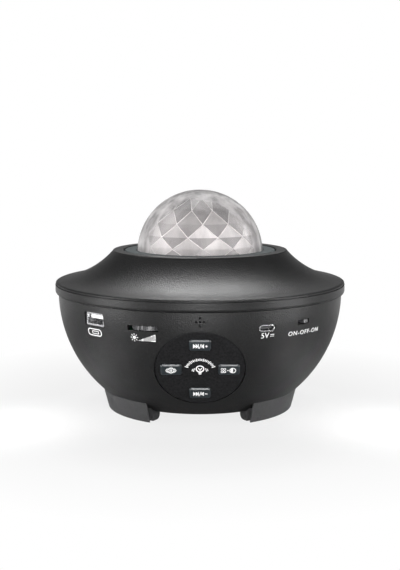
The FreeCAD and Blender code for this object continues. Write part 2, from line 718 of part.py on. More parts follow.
def board_components():
    """Controller, amplifier, capacitors, coil and the three lead headers."""
    top = BOARD_TOP_Z
    parts = []
    for side, height, back, azimuth in CHIPS:
        x, y = spot(BOARD_R - back, azimuth)
        parts.append(block(side, side, top, top + height, x, y))
    x, y = spot(BOARD_R - COIL_IN, COIL_AZ)
    parts.append(rounded_bar(COIL_SIDE, COIL_SIDE, COIL_SIDE / 5, top, top + COIL_H, x, y))
    for radius, height, back, azimuth in CAPACITORS:
        x, y = spot(BOARD_R - back, azimuth)
        parts.append(disc(radius, top, top + height, x, y))
    for x in (-HEADER_PITCH, 0.0, HEADER_PITCH):
        y = BOARD_BACK_Y - HEADER_IN
        header = block(HEADER_W, HEADER_D, top, top + HEADER_H, x, y)
        hollow = block(HEADER_W - 2 * HEADER_WALL, HEADER_D - 2 * HEADER_WALL,
                       top + 2 * HEADER_WALL, top + HEADER_H + 1, x, y)
        parts.append(header.cut(hollow))
    return group(parts)


def usb_a_front():
    return math.sqrt(bowl_radius(USB_A_Z) ** 2 - (USB_A_CUT_W / 2) ** 2) - SOCKET_SINK


def usb_a_shell():
    """Folded steel shell of the charging socket, with a flared lip."""
    front = usb_a_front()
    width = USB_A_MOUTH_W + 2 * USB_SHEET
    height = USB_A_MOUTH_H + 2 * USB_SHEET
    body = rounded_bar(width, height, 0.6, front - USB_A_LEN, front)
    lip_w = USB_A_CUT_W - 2 * USB_A_LIP_SIDE
    lip = rounded_bar(lip_w, USB_A_CUT_H - 2 * SLIDER_GAP, 0.8, front - 0.6, front)
    mouth = rounded_bar(USB_A_MOUTH_W, USB_A_MOUTH_H, 0.3, front - USB_A_LEN - 1, front + 1)
    flare = rounded_bar(USB_A_MOUTH_W + 0.2, USB_A_MOUTH_H + 0.2, 0.4, front - 0.2, front + 1)
    tube = body.fuse(lip).cut([mouth, flare])
    side = (width - USB_SHEET) / 2
    legs = [block(USB_SHEET, USB_A_UP, front - y, front - y + 1.5, x, -USB_A_UP / 2)
            for x in (-side, side) for y in (11.0, 7.5)]
    return on_wall(joined([tube] + legs), USB_A_AZ, USB_A_Z)


def usb_a_tongue():
    """Plastic block at the back of the socket, with its contact tongue."""
    back = usb_a_front() - USB_A_LEN
    low = back + USB_A_BASE
    base = rounded_bar(USB_A_MOUTH_W - 0.04, USB_A_MOUTH_H - 0.04, 0.3, back, low)
    v = (USB_A_MOUTH_H - USB_A_TONGUE_T) / 2 - 0.5
    tongue = block(USB_A_TONGUE_W, USB_A_TONGUE_T, back, low + USB_A_TONGUE_LEN, 0, v)
    pins = [block(1.0, 0.25, low, low - 0.6 + USB_A_TONGUE_LEN, x, v - USB_A_TONGUE_T / 2 - 0.1)
            for x in (-3.5, -1.0, 1.0, 3.5)]
    return on_wall(joined([base, tongue] + pins), USB_A_AZ, USB_A_Z)


def usb_c_front():
    return math.sqrt(bowl_radius(USB_C_Z) ** 2 - (USB_C_CUT_W / 2) ** 2) - SOCKET_SINK + USB_C_PROUD


def usb_c_shell():
    """Rounded steel shell of the power inlet."""
    front = usb_c_front()
    body = rounded_bar(USB_C_W, USB_C_H, USB_C_H / 2, front - USB_C_LEN, front)
    inner_h = USB_C_H - 2 * USB_SHEET
    mouth = rounded_bar(USB_C_W - 2 * USB_SHEET, inner_h, inner_h / 2, front - USB_C_LEN + 0.8, front + 1)
    seat = block(USB_C_W - 1, USB_C_UP, front - USB_C_LEN, front - 4.0, 0, -USB_C_UP / 2)
    return on_wall(body.fuse(seat).cut(mouth), USB_C_AZ, USB_C_Z)


def usb_c_tongue():
    low = usb_c_front() - USB_C_LEN + 0.8
    inner_h = USB_C_H - 2 * USB_SHEET
    base = rounded_bar(USB_C_W - 2 * USB_SHEET, inner_h, inner_h / 2, low, low + 1.0)
    tongue = rounded_bar(USB_C_TONGUE_W, USB_C_TONGUE_T, 0.3, low, low + 1.0 + USB_C_TONGUE_LEN)
    return on_wall(base.fuse(tongue), USB_C_AZ, USB_C_Z)


def wheel_axis():
    """Distance of the dimmer wheel's pin from the middle of the case."""
    return bowl_radius(DIMMER_Z) - WHEEL_SINK - WHEEL_R


def dimmer_body():
    """Base of the dimmer on the board, with the riveted pin that its wheel turns on."""
    x, y = spot(wheel_axis(), DIMMER_AZ)
    wheel_low = DIMMER_Z - WHEEL_T / 2
    wheel_top = DIMMER_Z + WHEEL_T / 2
    rivet_low = wheel_top + 2 * AXIAL_GAP
    base = disc(WHEEL_BASE_R, BOARD_TOP_Z, wheel_low - 2 * AXIAL_GAP, x, y)
    pin = disc(WHEEL_PIN_R, BOARD_TOP_Z, rivet_low + WHEEL_RIVET_T, x, y)
    rivet = disc(WHEEL_RIVET_R, rivet_low, rivet_low + WHEEL_RIVET_T, x, y)
    return base.fuse([pin, rivet])


def dimmer_wheel():
    """Ribbed thumb wheel that shows in the slot, with a notch for its position."""
    pitch = 360.0 / WHEEL_RIBS
    front = DIMMER_AZ - 90 + WHEEL_NOTCH_AT
    corners = []
    for rib in range(1, WHEEL_RIBS):
        middle = front + rib * pitch
        for radius, side in ((WHEEL_R - WHEEL_RIB_H, -0.3), (WHEEL_R, -0.22),
                             (WHEEL_R, 0.22), (WHEEL_R - WHEEL_RIB_H, 0.3)):
            turn = math.radians(middle + side * pitch)
            corners.append(Vector(radius * math.cos(turn), radius * math.sin(turn), 0))
    face = Part.Face(Part.makePolygon(corners + corners[:1]))
    low = DIMMER_Z - WHEEL_T / 2
    wheel = moved_to(face.extrude(Vector(0, 0, WHEEL_T)), 0, 0, low)
    notch = block(2 * WHEEL_RIB_H, WHEEL_NOTCH, low - 1, low + WHEEL_T + 1, WHEEL_R - WHEEL_RIB_H)
    bore = disc(WHEEL_PIN_R + SLIDER_GAP / 2, low - 1, low + WHEEL_T + 1)
    return moved_to(wheel.cut([turned(notch, front), bore]), *spot(wheel_axis(), DIMMER_AZ))


def power_switch_body():
    """Three-position slide switch with a metal-look case, on the board edge."""
    front = SWITCH_FRONT_R
    low = BOARD_TOP_Z - SWITCH_Z
    middle = low + SWITCH_BODY_H / 2
    body = block(SWITCH_BODY_W, SWITCH_BODY_H, front - SWITCH_BODY_D, front, 0, middle)
    length = SWITCH_KNOB_W + SWITCH_TRAVEL + 2 * SLIDER_GAP
    slot = block(length, SWITCH_KNOB_H + 2 * SLIDER_GAP, front - 3, front + 1)
    return on_wall(body.cut(slot), SWITCH_AZ, SWITCH_Z)


def power_switch_knob():
    """Switch knob, at its right-hand stop."""
    front = SWITCH_FRONT_R
    top = bowl_radius(SWITCH_Z) - 0.3
    knob = block(SWITCH_KNOB_W, SWITCH_KNOB_H, front - 3 + SLIDER_GAP, top, SWITCH_KNOB_AT, 0)
    edges = [e for e in knob.Edges if abs(e.BoundBox.ZMin - top) < 0.001]
    return on_wall(knob.makeChamfer(0.3, edges), SWITCH_AZ, SWITCH_Z)


def speaker_gasket():
    gasket = ring(SPEAKER_CONE_R + 0.5, SPEAKER_R, SPEAKER_SEAT_Z, SPEAKER_FLANGE_Z)
    return gasket.cut([disc(SMALL_SCREW_R + SCREW_PASS, 0, 30, x, y) for x, y in speaker_screw_spots()])


def speaker_frame():
    """Pressed steel basket with its screw flange and four windows."""
    low = SPEAKER_FLANGE_Z
    top = low + SPEAKER_BASKET_H
    sheet = SPEAKER_SHEET
    flange = ring(SPEAKER_CONE_R + 0.6, SPEAKER_R, low, low + SPEAKER_FLANGE_T)
    mouth_r = SPEAKER_CONE_R + 0.6
    basket = spun_points([
        (mouth_r, low), (mouth_r + sheet, low), (mouth_r + sheet, low + 2), (SPEAKER_NECK_R + sheet, top),
        (8.0, top), (8.0, top - sheet), (SPEAKER_NECK_R, top - sheet), (mouth_r, low + 2),
    ])
    windows = []
    for azimuth in (0, 90, 180, 270):
        x, y = spot(SPEAKER_NECK_R + 7, azimuth)
        windows.append(turned(block(11.0, 12.0, low + 3.0, top - 2.0, x, y), azimuth, x, y))
    holes = [disc(SMALL_SCREW_R + SCREW_PASS, 0, low + 2, x, y) for x, y in speaker_screw_spots()]
    return flange.fuse(basket).cut(windows + holes)


def speaker_magnet():
    top = SPEAKER_FLANGE_Z + SPEAKER_BASKET_H
    magnet = disc(MAGNET_R, top, top + MAGNET_H)
    edge = [e for e in magnet.Edges if abs(e.BoundBox.ZMin - top - MAGNET_H) < 0.001]
    return magnet.makeChamfer(1.0, edge).fuse(disc(5.0, top - 4, top))


def speaker_cone():
    """Paper cone with its rolled surround and dust cap, facing the floor."""
    low = SPEAKER_FLANGE_Z + 0.1
    edge_r = SPEAKER_CONE_R
    return spun_points([
        (edge_r + 0.5, low), (edge_r + 0.5, low + 0.7), (edge_r - 2.2, low + 1.6), (edge_r - 4.4, low + 0.9),
        (6.2, low + 5.2), (6.2, low + 4.2), (4.6, low + 3.2), (0, low + 2.6), (0, low + 2.0),
        (4.8, low + 2.5), (6.4, low + 3.4), (edge_r - 4.4, low + 0.1), (edge_r - 2.2, low + 0.9),
    ])


def speaker_screws():
    top = SPEAKER_FLANGE_Z + SPEAKER_FLANGE_T + SMALL_SCREW_HEAD_H
    one = flipped(screw(SMALL_SCREW_R, SMALL_SCREW_LEN, SMALL_SCREW_HEAD_R, SMALL_SCREW_HEAD_H, 0), top)
    return group([moved_to(one, x, y) for x, y in speaker_screw_spots()])


def case_screws():
    low = PAD_T + SLIDER_GAP
    one = screw(CASE_SCREW_R, CASE_SCREW_LEN, CASE_SCREW_HEAD_R, CASE_SCREW_HEAD_H, low)
    return group([moved_to(one, *spot(POST_R, a)) for a in FOOT_AZIMUTHS.values()])


def carrier_deck():
    """Deck under the lid: carries the bearing hub, the motor and the light engine."""
    deck_r = DECK_BOSS_R + POST_SIDE_R + 1.0
    deck = disc(deck_r, DECK_LOW, DECK_TOP).fuse(disc(HUB_OUT_R, DECK_LOW, HUB_TOP))
    cuts = [disc(HUB_IN_R, DECK_TOP, HUB_TOP + 1), disc(HUB_IN_R - DECK_LEDGE, 0, HUB_TOP)]
    for azimuth in FOOT_AZIMUTHS.values():
        cuts.append(disc(POST_SIDE_R + FIT_GAP, 0, HUB_TOP, *spot(POST_R, azimuth)))
    for azimuth in DECK_AZIMUTHS:
        cuts.append(disc(SMALL_SCREW_R + SCREW_PASS, 0, HUB_TOP, *spot(DECK_BOSS_R, azimuth)))
    x, y = spot(MOTOR_AXIS_R, MOTOR_AZ)
    cuts.append(disc(MOTOR_BOSS_R + FIT_GAP, 0, HUB_TOP, x, y))
    for x, y in motor_screw_spots():
        cuts.append(disc(SMALL_SCREW_R + 0.1, 0, HUB_TOP, x, y))
    return deck.cut(cuts)


def deck_screws():
    low = DECK_LOW - SMALL_SCREW_HEAD_H
    one = screw(SMALL_SCREW_R, SMALL_SCREW_LEN, SMALL_SCREW_HEAD_R, SMALL_SCREW_HEAD_H, low)
    return group([moved_to(one, *spot(DECK_BOSS_R, a)) for a in DECK_AZIMUTHS])


def rotor_retainer():
    """Washer fixed on the hub, which keeps the ring gear on its bearing."""
    return ring(HUB_IN_R, RETAINER_R, HUB_TOP, HUB_TOP + RETAINER_T)


def gear_outline(teeth, root_r, tip_r, first):
    """Closed outline of an external gear with chorded involute flanks."""
    pitch_r = GEAR_MODULE * teeth / 2
    base_r = pitch_r * math.cos(math.radians(20))

    def half_angle(radius):
        level = max(radius, base_r)
        roll = math.sqrt((level / base_r) ** 2 - 1)
        pitch_roll = math.tan(math.radians(20))
        spread = (roll - math.atan(roll)) - (pitch_roll - math.radians(20))
        return (math.pi * GEAR_MODULE / 2 - BACKLASH / 2) / 2 / pitch_r - spread

    low = max(base_r, root_r)
    levels = [root_r] if root_r < base_r else []
    levels += [low + (tip_r - low) * k / 3 for k in range(4)]
    corners = []
    for tooth in range(teeth):
        middle = first + 2 * math.pi * tooth / teeth
        for side, order in ((-1, levels), (1, levels[::-1])):
            for radius in order:
                angle = middle + side * half_angle(radius)
                corners.append(Vector(radius * math.cos(angle), radius * math.sin(angle), 0))
    return Part.Face(Part.makePolygon(corners + corners[:1]))


def ring_gear():
    """Gear under the dome, turning on the hub, with the flange that carries the dome."""
    root = RING_PITCH_R - 1.25 * GEAR_MODULE
    tip = RING_PITCH_R + GEAR_MODULE
    first = math.radians(MOTOR_AZ - 90)
    face = gear_outline(RING_TEETH, root, tip, first)
    teeth = moved_to(face.extrude(Vector(0, 0, GEAR_FACE)), 0, 0, GEAR_LOW)
    gear = teeth.fuse(disc(FLANGE_R, WEB_LOW, WEB_TOP))
    cuts = [disc(RING_BORE_R, GEAR_LOW - 1, WEB_TOP + 1), disc(WEB_IN_R, WEB_LOW, WEB_TOP + 1)]
    for x, y in rotor_screw_spots():
        cuts.append(disc(TINY_SCREW_R + 0.15, WEB_LOW - 1, WEB_TOP + 1, x, y))
        cuts.append(disc(TINY_SCREW_HEAD_R + 0.2, WEB_LOW - 1, WEB_LOW + TINY_SCREW_HEAD_H + 0.2, x, y))
    return gear.cut(cuts)


def rotor_screw_spots():
    return [spot((DOME_R + FLANGE_R) / 2 + 0.5, azimuth) for azimuth in ROTOR_AZIMUTHS]


def rotor_screws():
    low = WEB_LOW + 0.2
    one = screw(TINY_SCREW_R, TINY_SCREW_LEN, TINY_SCREW_HEAD_R, TINY_SCREW_HEAD_H, low)
    return group([moved_to(one, x, y) for x, y in rotor_screw_spots()])


def collar_ring():
    """Flat ring round the dome, screwed to the gear below it."""
    ring_top = COLLAR_TOP
    section = [
        (COLLAR_IN_R, FLANGE_TOP), (COLLAR_OUT_R, FLANGE_TOP), (COLLAR_OUT_R, ring_top - EDGE),
        (COLLAR_OUT_R - EDGE, ring_top), (COLLAR_IN_R + EDGE, ring_top), (COLLAR_IN_R, ring_top - EDGE),
    ]
    depth = FLANGE_TOP + COLLAR_T - 0.6
    holes = [disc(TINY_SCREW_R + SCREW_GAP, FLANGE_TOP - 1, depth, x, y) for x, y in rotor_screw_spots()]
    return spun_points(section).cut(holes)


def facet_hollow():
    """Faceted hollow: staggered rings of corners joined by flat triangles."""
    rows = []
    for index, latitude in enumerate(DOME_ROWS):
        level = math.radians(latitude)
        shift = DOME_TURN + (180.0 / DOME_SIDES if index % 2 == 0 else 0.0)
        corners = []
        for step in range(DOME_SIDES):
            x, y = spot(DOME_FACET_R * math.cos(level), shift + 360.0 * step / DOME_SIDES)
            corners.append(Vector(x, y, DOME_Z + DOME_FACET_R * math.sin(level)))
        rows.append(corners)
    sunk = [Vector(v.x, v.y, WEB_TOP - 1) for v in rows[0]]
    faces = []
    for step in range(DOME_SIDES):
        after = (step + 1) % DOME_SIDES
        faces.append([sunk[step], sunk[after], rows[0][after], rows[0][step]])
        for index in range(len(rows) - 1):
            low, high = rows[index], rows[index + 1]
            faces.append([low[step], low[after], high[after if index % 2 == 0 else step]])
            faces.append([high[step], high[after], low[after if index % 2 else step]])
    faces += [sunk, rows[-1]]
    return Part.Solid(Part.Shell([Part.Face(Part.makePolygon(f + f[:1])) for f in faces]))


def dome():
    """Clear dome, smooth outside and cut into facets inside."""
    ball = Part.makeSphere(DOME_R, Vector(0, 0, DOME_Z))
    ball = ball.common(disc(2 * DOME_R, DOME_Z, DOME_Z + 2 * DOME_R))
    body = ball.fuse([disc(DOME_R, WEB_TOP, DOME_Z), disc(FLANGE_R, WEB_TOP, FLANGE_TOP)])
    holes = [disc(TINY_SCREW_R + 0.15, 0, FLANGE_TOP + 0.01, x, y) for x, y in rotor_screw_spots()]
    return body.cut([facet_hollow()] + holes)


def motor_screw_spots():
    x, y = spot(MOTOR_AXIS_R, MOTOR_AZ)
    along = math.radians(MOTOR_AZ)
    reach = [-MOTOR_EAR_PITCH / 2, MOTOR_EAR_PITCH / 2]
    return [(x + r * math.cos(along), y + r * math.sin(along)) for r in reach]


def gear_motor():
    """Small geared motor with two ears, hung under the deck."""
    x, y = spot(MOTOR_AXIS_R, MOTOR_AZ)
    can = disc(MOTOR_R, DECK_LOW - MOTOR_H, DECK_LOW)
    boss = disc(MOTOR_BOSS_R, DECK_LOW, DECK_LOW + MOTOR_BOSS_H)
    ear_low = DECK_LOW - MOTOR_EAR_T
    ears = rounded_bar(7.0, MOTOR_EAR_PITCH + 7.0, 3.4, ear_low, DECK_LOW)
    plug = block(5.0, 8.0, DECK_LOW - MOTOR_H + 2, DECK_LOW - MOTOR_H + 9, MOTOR_R)
    motor = moved_to(turned(can.fuse([boss, ears, plug]), MOTOR_AZ - 90), x, y)
    cuts = [disc(SHAFT_R + SHAFT_GAP, DECK_LOW - 9, HUB_TOP, x, y)]
    for u, v in motor_screw_spots():
        cuts.append(disc(SMALL_SCREW_R + SCREW_GAP, ear_low - 1, DECK_LOW + 1, u, v))
    return motor.cut(cuts)


def motor_screws():
    top = DECK_TOP + SMALL_SCREW_HEAD_H
    one = flipped(screw(SMALL_SCREW_R, SMALL_SCREW_LEN, SMALL_SCREW_HEAD_R, SMALL_SCREW_HEAD_H, 0), top)
    return group([moved_to(one, x, y) for x, y in motor_screw_spots()])


def pinion_top():
    return WEB_LOW - 0.5


def motor_shaft():
    x, y = spot(MOTOR_AXIS_R, MOTOR_AZ)
    return disc(SHAFT_R, DECK_LOW - 8.8, pinion_top(), x, y)


def drive_pinion():
    """Pinion on the motor shaft, in mesh with the ring gear."""
    root = PINION_PITCH_R - 1.25 * GEAR_MODULE
    tip = PINION_PITCH_R + GEAR_MODULE
    inward = math.radians(MOTOR_AZ - 90) + math.pi
    face = gear_outline(PINION_TEETH, root, tip, inward + math.pi / PINION_TEETH)
    gear = face.extrude(Vector(0, 0, pinion_top() - DECK_TOP - 2 * AXIAL_GAP))
    x, y = spot(MOTOR_AXIS_R, MOTOR_AZ)
    gear = moved_to(gear, x, y, DECK_TOP + 2 * AXIAL_GAP)
    return gear.cut(disc(SHAFT_R + 0.02, 0, PLATEAU_Z, x, y))


def heat_sink():
    """Aluminium plate on the deck ledge, with straight fins hanging below."""
    plate_r = HUB_IN_R - FIT_GAP
    fin_r = HUB_IN_R - DECK_LEDGE - 1.0
    plate = disc(plate_r, DECK_TOP, LED_BOARD_LOW)
    count = int(fin_r / SINK_FIN_PITCH)
    fins = [block(2 * fin_r, SINK_FIN_T, DECK_TOP - SINK_FIN_H, DECK_TOP + 0.1, 0, k * SINK_FIN_PITCH)
            for k in range(-count, count + 1)]
    fins = group(fins).common(disc(fin_r, 0, PLATEAU_Z)).Solids
    return plate.fuse(fins).cut(disc(LASER_R + 0.05, 0, PLATEAU_Z))


def led_board():
    board = disc(HUB_IN_R - FIT_GAP - TRAY_T - SLIDER_GAP, LED_BOARD_LOW, LED_BOARD_TOP)
    return board.cut(disc(LASER_R + 0.4, 0, PLATEAU_Z))


def led_spots():
    return [spot(LED_RING_R, 45.0 + 360.0 * k / LED_COUNT) for k in range(LED_COUNT)]


def led_emitters():
    """Four square light emitters, each with a small clear bead."""
    emitters = []
    for x, y in led_spots():
        base = block(LED_SIDE, LED_SIDE, LED_BOARD_TOP, LED_BOARD_TOP + LED_T, x, y)
        bead = Part.makeSphere(LED_DOME_R, Vector(x, y, LED_BOARD_TOP + LED_T))
        emitters.append(base.fuse(bead.common(disc(LED_SIDE, LED_BOARD_TOP + LED_T, PLATEAU_Z, x, y))))
    return group(emitters)


def led_lenses():
    """Clear cone lenses that stand on the emitters and reach into the dome."""
    low = LED_BOARD_TOP + LED_T
    top = low + LENS_H
    cone = spun_points([
        (LED_DOME_R + 0.2, low), (LENS_LOW_R, low), (LENS_TOP_R, top - 1), (LENS_TOP_R, top),
        (0, top), (0, low + LED_DOME_R + 0.3), (LED_DOME_R + 0.2, low + LED_DOME_R + 0.3),
    ])
    return group([moved_to(cone, x, y) for x, y in led_spots()])


def tray_low():
    return LED_BOARD_TOP + TRAY_H - TRAY_T


def reflector_tray():
    """White tray that closes the hub under the dome, open for lenses and laser."""
    outer = HUB_IN_R - FIT_GAP
    skirt_in = outer - TRAY_T
    top = LED_BOARD_TOP + TRAY_H
    tray = spun_points([
        (0, tray_low()), (skirt_in, tray_low()), (skirt_in, LED_BOARD_LOW), (outer, LED_BOARD_LOW),
        (outer, top), (0, top),
    ])
    cuts = [disc(LENS_TOP_R + 0.2, tray_low() - 1, top + 1, x, y) for x, y in led_spots()]
    cuts.append(disc(LASER_R + 0.4, tray_low() - 1, top + 1))
    cuts.append(block(RECEIVER_W + 0.6, RECEIVER_D + 0.6, tray_low() - 1, top + 1, 0, RECEIVER_R))
    return tray.cut(cuts)


def laser_module():
    """Brass barrel of the star laser, held in the middle of the heat sink."""
    top = LED_BOARD_TOP + LASER_TOP
    barrel = disc(LASER_R, top - LASER_LEN, top)
    seat = disc(LASER_LENS_R + 0.05, top - LASER_LENS_T, top + 1)
    return barrel.cut([seat, disc(LASER_LENS_R - 1.2, top - LASER_LENS_T - 2, top)])


def laser_lens():
    top = LED_BOARD_TOP + LASER_TOP
    return disc(LASER_LENS_R, top - LASER_LENS_T, top)


def remote_receiver():
    """Infrared receiver, looking out through the clear dome."""
    low = LED_BOARD_TOP
    body = block(RECEIVER_W, RECEIVER_D, low, low + RECEIVER_H, 0, RECEIVER_R)
    eye = Part.makeSphere(1.2, Vector(0, RECEIVER_R, low + RECEIVER_H - 0.2))
    return body.fuse(eye.common(disc(3, low + 1, PLATEAU_Z, 0, RECEIVER_R)))


def all_parts():
    parts = {
        "lower_shell": lower_shell(),
        "top_cover": top_cover(),
        "control_panel": control_panel(),
        "button_board": button_board(),
        "button_keys": button_keys(),
        "button_board_screws": button_board_screws(),
        "microphone": microphone(),
        "mic_boot": mic_boot(),
        "main_board": main_board(),
        "main_board_screws": main_board_screws(),
        "board_components": board_components(),
        "usb_a_shell": usb_a_shell(),
        "usb_a_tongue": usb_a_tongue(),
        "usb_c_shell": usb_c_shell(),
        "usb_c_tongue": usb_c_tongue(),
        "dimmer_body": dimmer_body(),
        "dimmer_wheel": dimmer_wheel(),
        "power_switch_body": power_switch_body(),
        "power_switch_knob": power_switch_knob(),
        "speaker_gasket": speaker_gasket(),
        "speaker_frame": speaker_frame(),
        "speaker_magnet": speaker_magnet(),
        "speaker_cone": speaker_cone(),
        "speaker_screws": speaker_screws(),
        "case_screws": case_screws(),
        "carrier_deck": carrier_deck(),
        "deck_screws": deck_screws(),
        "rotor_retainer": rotor_retainer(),
        "ring_gear": ring_gear(),
        "rotor_screws": rotor_screws(),
        "collar_ring": collar_ring(),
        "dome": dome(),
        "gear_motor": gear_motor(),
        "motor_screws": motor_screws(),
        "motor_shaft": motor_shaft(),
        "drive_pinion": drive_pinion(),
        "heat_sink": heat_sink(),
        "led_board": led_board(),
        "led_emitters": led_emitters(),
        "led_lenses": led_lenses(),
        "reflector_tray": reflector_tray(),
        "laser_module": laser_module(),
        "laser_lens": laser_lens(),
        "remote_receiver": remote_receiver(),
    }
    for side, azimuth in FOOT_AZIMUTHS.items():
        parts["foot_" + side] = foot(azimuth)
        parts["foot_pad_" + side] = foot_pad(azimuth)
    for name, (u, v) in BUTTONS.items():
        parts[name] = button(u, v)
    return parts


os.makedirs("parts", exist_ok=True)
for name, shape in all_parts().items():
    if not shape.isValid():
        print("not valid:", name)
    print(name, len(shape.Solids), round(shape.Volume, 1))
    shape.exportStep("parts/" + name + ".step")
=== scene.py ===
import math

import bpy
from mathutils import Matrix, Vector


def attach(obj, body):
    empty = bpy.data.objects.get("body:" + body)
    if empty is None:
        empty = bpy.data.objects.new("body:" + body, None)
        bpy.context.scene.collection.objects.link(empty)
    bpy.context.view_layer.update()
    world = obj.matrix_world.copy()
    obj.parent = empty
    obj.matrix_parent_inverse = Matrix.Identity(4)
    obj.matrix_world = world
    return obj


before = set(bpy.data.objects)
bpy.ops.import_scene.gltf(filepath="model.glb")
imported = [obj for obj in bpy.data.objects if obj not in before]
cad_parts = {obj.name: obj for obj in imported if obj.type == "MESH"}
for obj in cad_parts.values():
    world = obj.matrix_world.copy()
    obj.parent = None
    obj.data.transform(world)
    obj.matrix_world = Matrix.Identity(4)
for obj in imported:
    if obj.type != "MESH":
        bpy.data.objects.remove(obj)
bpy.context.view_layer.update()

# Camera. The photograph looks at the front of the case from just above its
# dome, so the lens stands 0.6 m in front of the axis and tips down a little.
LENS_MM = 65.2
FILM_WIDTH_MM = 36.0
CAMERA_PLACE = (0.0, -0.600, 0.1531)
CAMERA_DIP = 7.82

lens = bpy.data.cameras.new("front_camera")
lens.lens = LENS_MM
lens.sensor_width = FILM_WIDTH_MM
camera = bpy.data.objects.new("front_camera", lens)
bpy.context.scene.collection.objects.link(camera)
camera.location = CAMERA_PLACE
camera.rotation_euler = (math.radians(90.0 - CAMERA_DIP), 0.0, 0.0)
bpy.context.scene.camera = camera
bpy.context.scene.view_settings.view_transform = "Standard"

# Lower shell. The deep bowl of the case, injection moulded in black ABS with a
# fine spark-eroded grain, with its floor, sound holes and socket cutouts.
CASE_COLOUR = (0.0085, 0.0085, 0.0087)
CASE_SKIN = {"rough": 0.38, "grain": 1400.0, "depth": 0.0004, "shine": 0.24}
HANDLED_PATCHES = 38.0
HANDLED_SPREAD = 0.04


def new_finish(name, metal=0.0, shine=0.5):
    """Empty Principled material and the pieces of its tree that finishes share."""
    material = bpy.data.materials.new(name)
    material.use_nodes = True
    tree = material.node_tree
    shader = next(n for n in tree.nodes if n.type == "BSDF_PRINCIPLED")
    shader.inputs["Metallic"].default_value = metal
    shader.inputs["Specular IOR Level"].default_value = shine
    place = tree.nodes.new("ShaderNodeTexCoord")
    return material, tree, shader, place.outputs["Object"]


def cloud(tree, place, scale, detail=2.0, stretch=None):
    """Noise at a number of features per metre, stretched by an axis if asked."""
    noise = tree.nodes.new("ShaderNodeTexNoise")
    noise.inputs["Scale"].default_value = scale
    noise.inputs["Detail"].default_value = detail
    source = place
    if stretch:
        mapping = tree.nodes.new("ShaderNodeMapping")
        mapping.inputs["Scale"].default_value = stretch
        tree.links.new(place, mapping.inputs["Vector"])
        source = mapping.outputs["Vector"]
    tree.links.new(source, noise.inputs["Vector"])
    return noise.outputs["Fac"]


def between(tree, factor, low, high, start=0.3, end=0.7):
    """Number that goes from low to high as the factor goes from start to end."""
    spread = tree.nodes.new("ShaderNodeMapRange")
    spread.inputs["From Min"].default_value = start
    spread.inputs["From Max"].default_value = end
    spread.inputs["To Min"].default_value = low
    spread.inputs["To Max"].default_value = high
    tree.links.new(factor, spread.inputs["Value"])
    return spread.outputs["Result"]


def tones(tree, factor, dark, light, start=0.3, end=0.7):
    """Colour that goes from dark to light as the factor goes from start to end."""
    ramp = tree.nodes.new("ShaderNodeValToRGB")
    ramp.color_ramp.elements[0].position = start
    ramp.color_ramp.elements[1].position = end
    ramp.color_ramp.elements[0].color = (*dark, 1.0)
    ramp.color_ramp.elements[1].color = (*light, 1.0)
    tree.links.new(factor, ramp.inputs["Fac"])
    return ramp.outputs["Color"]


def relief(tree, shader, height, depth, strength=0.5):
    """Bump of a depth in metres on the shader's normal."""
    bump = tree.nodes.new("ShaderNodeBump")
    bump.inputs["Strength"].default_value = strength
    bump.inputs["Distance"].default_value = depth
    tree.links.new(height, bump.inputs["Height"])
    tree.links.new(bump.outputs["Normal"], shader.inputs["Normal"])


def tinted(colour, factor):
    """A colour made darker or lighter by a factor."""
    return tuple(c * factor for c in colour)


def grained_plastic(name, colour, rough, grain, depth, shine=0.5, fleck=0.35):
    """Moulded plastic with an eroded grain, flecks in its tone and faint handling."""
    material, tree, shader, place = new_finish(name, shine=shine)
    fine = cloud(tree, place, grain, 3.0)
    shade = tones(tree, fine, tinted(colour, 1 - fleck), tinted(colour, 1 + fleck))
    tree.links.new(shade, shader.inputs["Base Color"])
    worn = cloud(tree, place, HANDLED_PATCHES, 3.0)
    gloss = between(tree, worn, rough - HANDLED_SPREAD, rough + HANDLED_SPREAD)
    tree.links.new(gloss, shader.inputs["Roughness"])
    relief(tree, shader, fine, depth)
    return material


def dress(material, *nodes):
    """Give CAD nodes their finish."""
    for node in nodes:
        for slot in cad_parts[node].material_slots:
            slot.material = material


case_black = grained_plastic("case_black", CASE_COLOUR, **CASE_SKIN)
dress(case_black, "lower_shell")

# Feet and their pads. Three curved ABS blocks are screwed up into the bowl, and
# each has a soft rubber pad pressed into a groove, which hides its screw.
# The feet are the case's plastic painted lighter, as painted light for the light they catch.
foot_black_painted_lighter = grained_plastic("foot_black_painted_lighter", (0.042, 0.042, 0.043), **CASE_SKIN)
pad_rubber = grained_plastic("pad_rubber", (0.030, 0.030, 0.031), rough=0.78, grain=2600.0,
                             depth=0.00002, shine=0.3, fleck=0.2)
for side in ("left", "right", "rear"):
    dress(foot_black_painted_lighter, "foot_" + side)
    dress(pad_rubber, "foot_pad_" + side)

# Case screws and the small ones. Zinc-plated steel, with the fine turning marks
# and slightly uneven plating that cheap cold-headed screws have.


def worked_metal(name, dark, light, rough, marks, stretch, depth, detail=2.0, patches=None):
    """Metal whose tone follows its tool marks, as its gloss does where it has no patches."""
    material, tree, shader, place = new_finish(name, metal=1.0)
    worked = cloud(tree, place, marks, detail, stretch)
    tree.links.new(tones(tree, worked, dark, light), shader.inputs["Base Color"])
    uneven = cloud(tree, place, patches) if patches else worked
    tree.links.new(between(tree, uneven, *rough), shader.inputs["Roughness"])
    relief(tree, shader, worked, depth)
    return material


zinc_steel = worked_metal("zinc_steel", (0.42, 0.42, 0.44), (0.62, 0.62, 0.63), rough=(0.28, 0.46),
                          marks=900.0, stretch=(1.0, 1.0, 6.0), depth=0.00002, patches=300.0)
dress(zinc_steel, "case_screws", "button_board_screws", "main_board_screws", "speaker_screws",
      "deck_screws", "rotor_screws", "motor_screws")

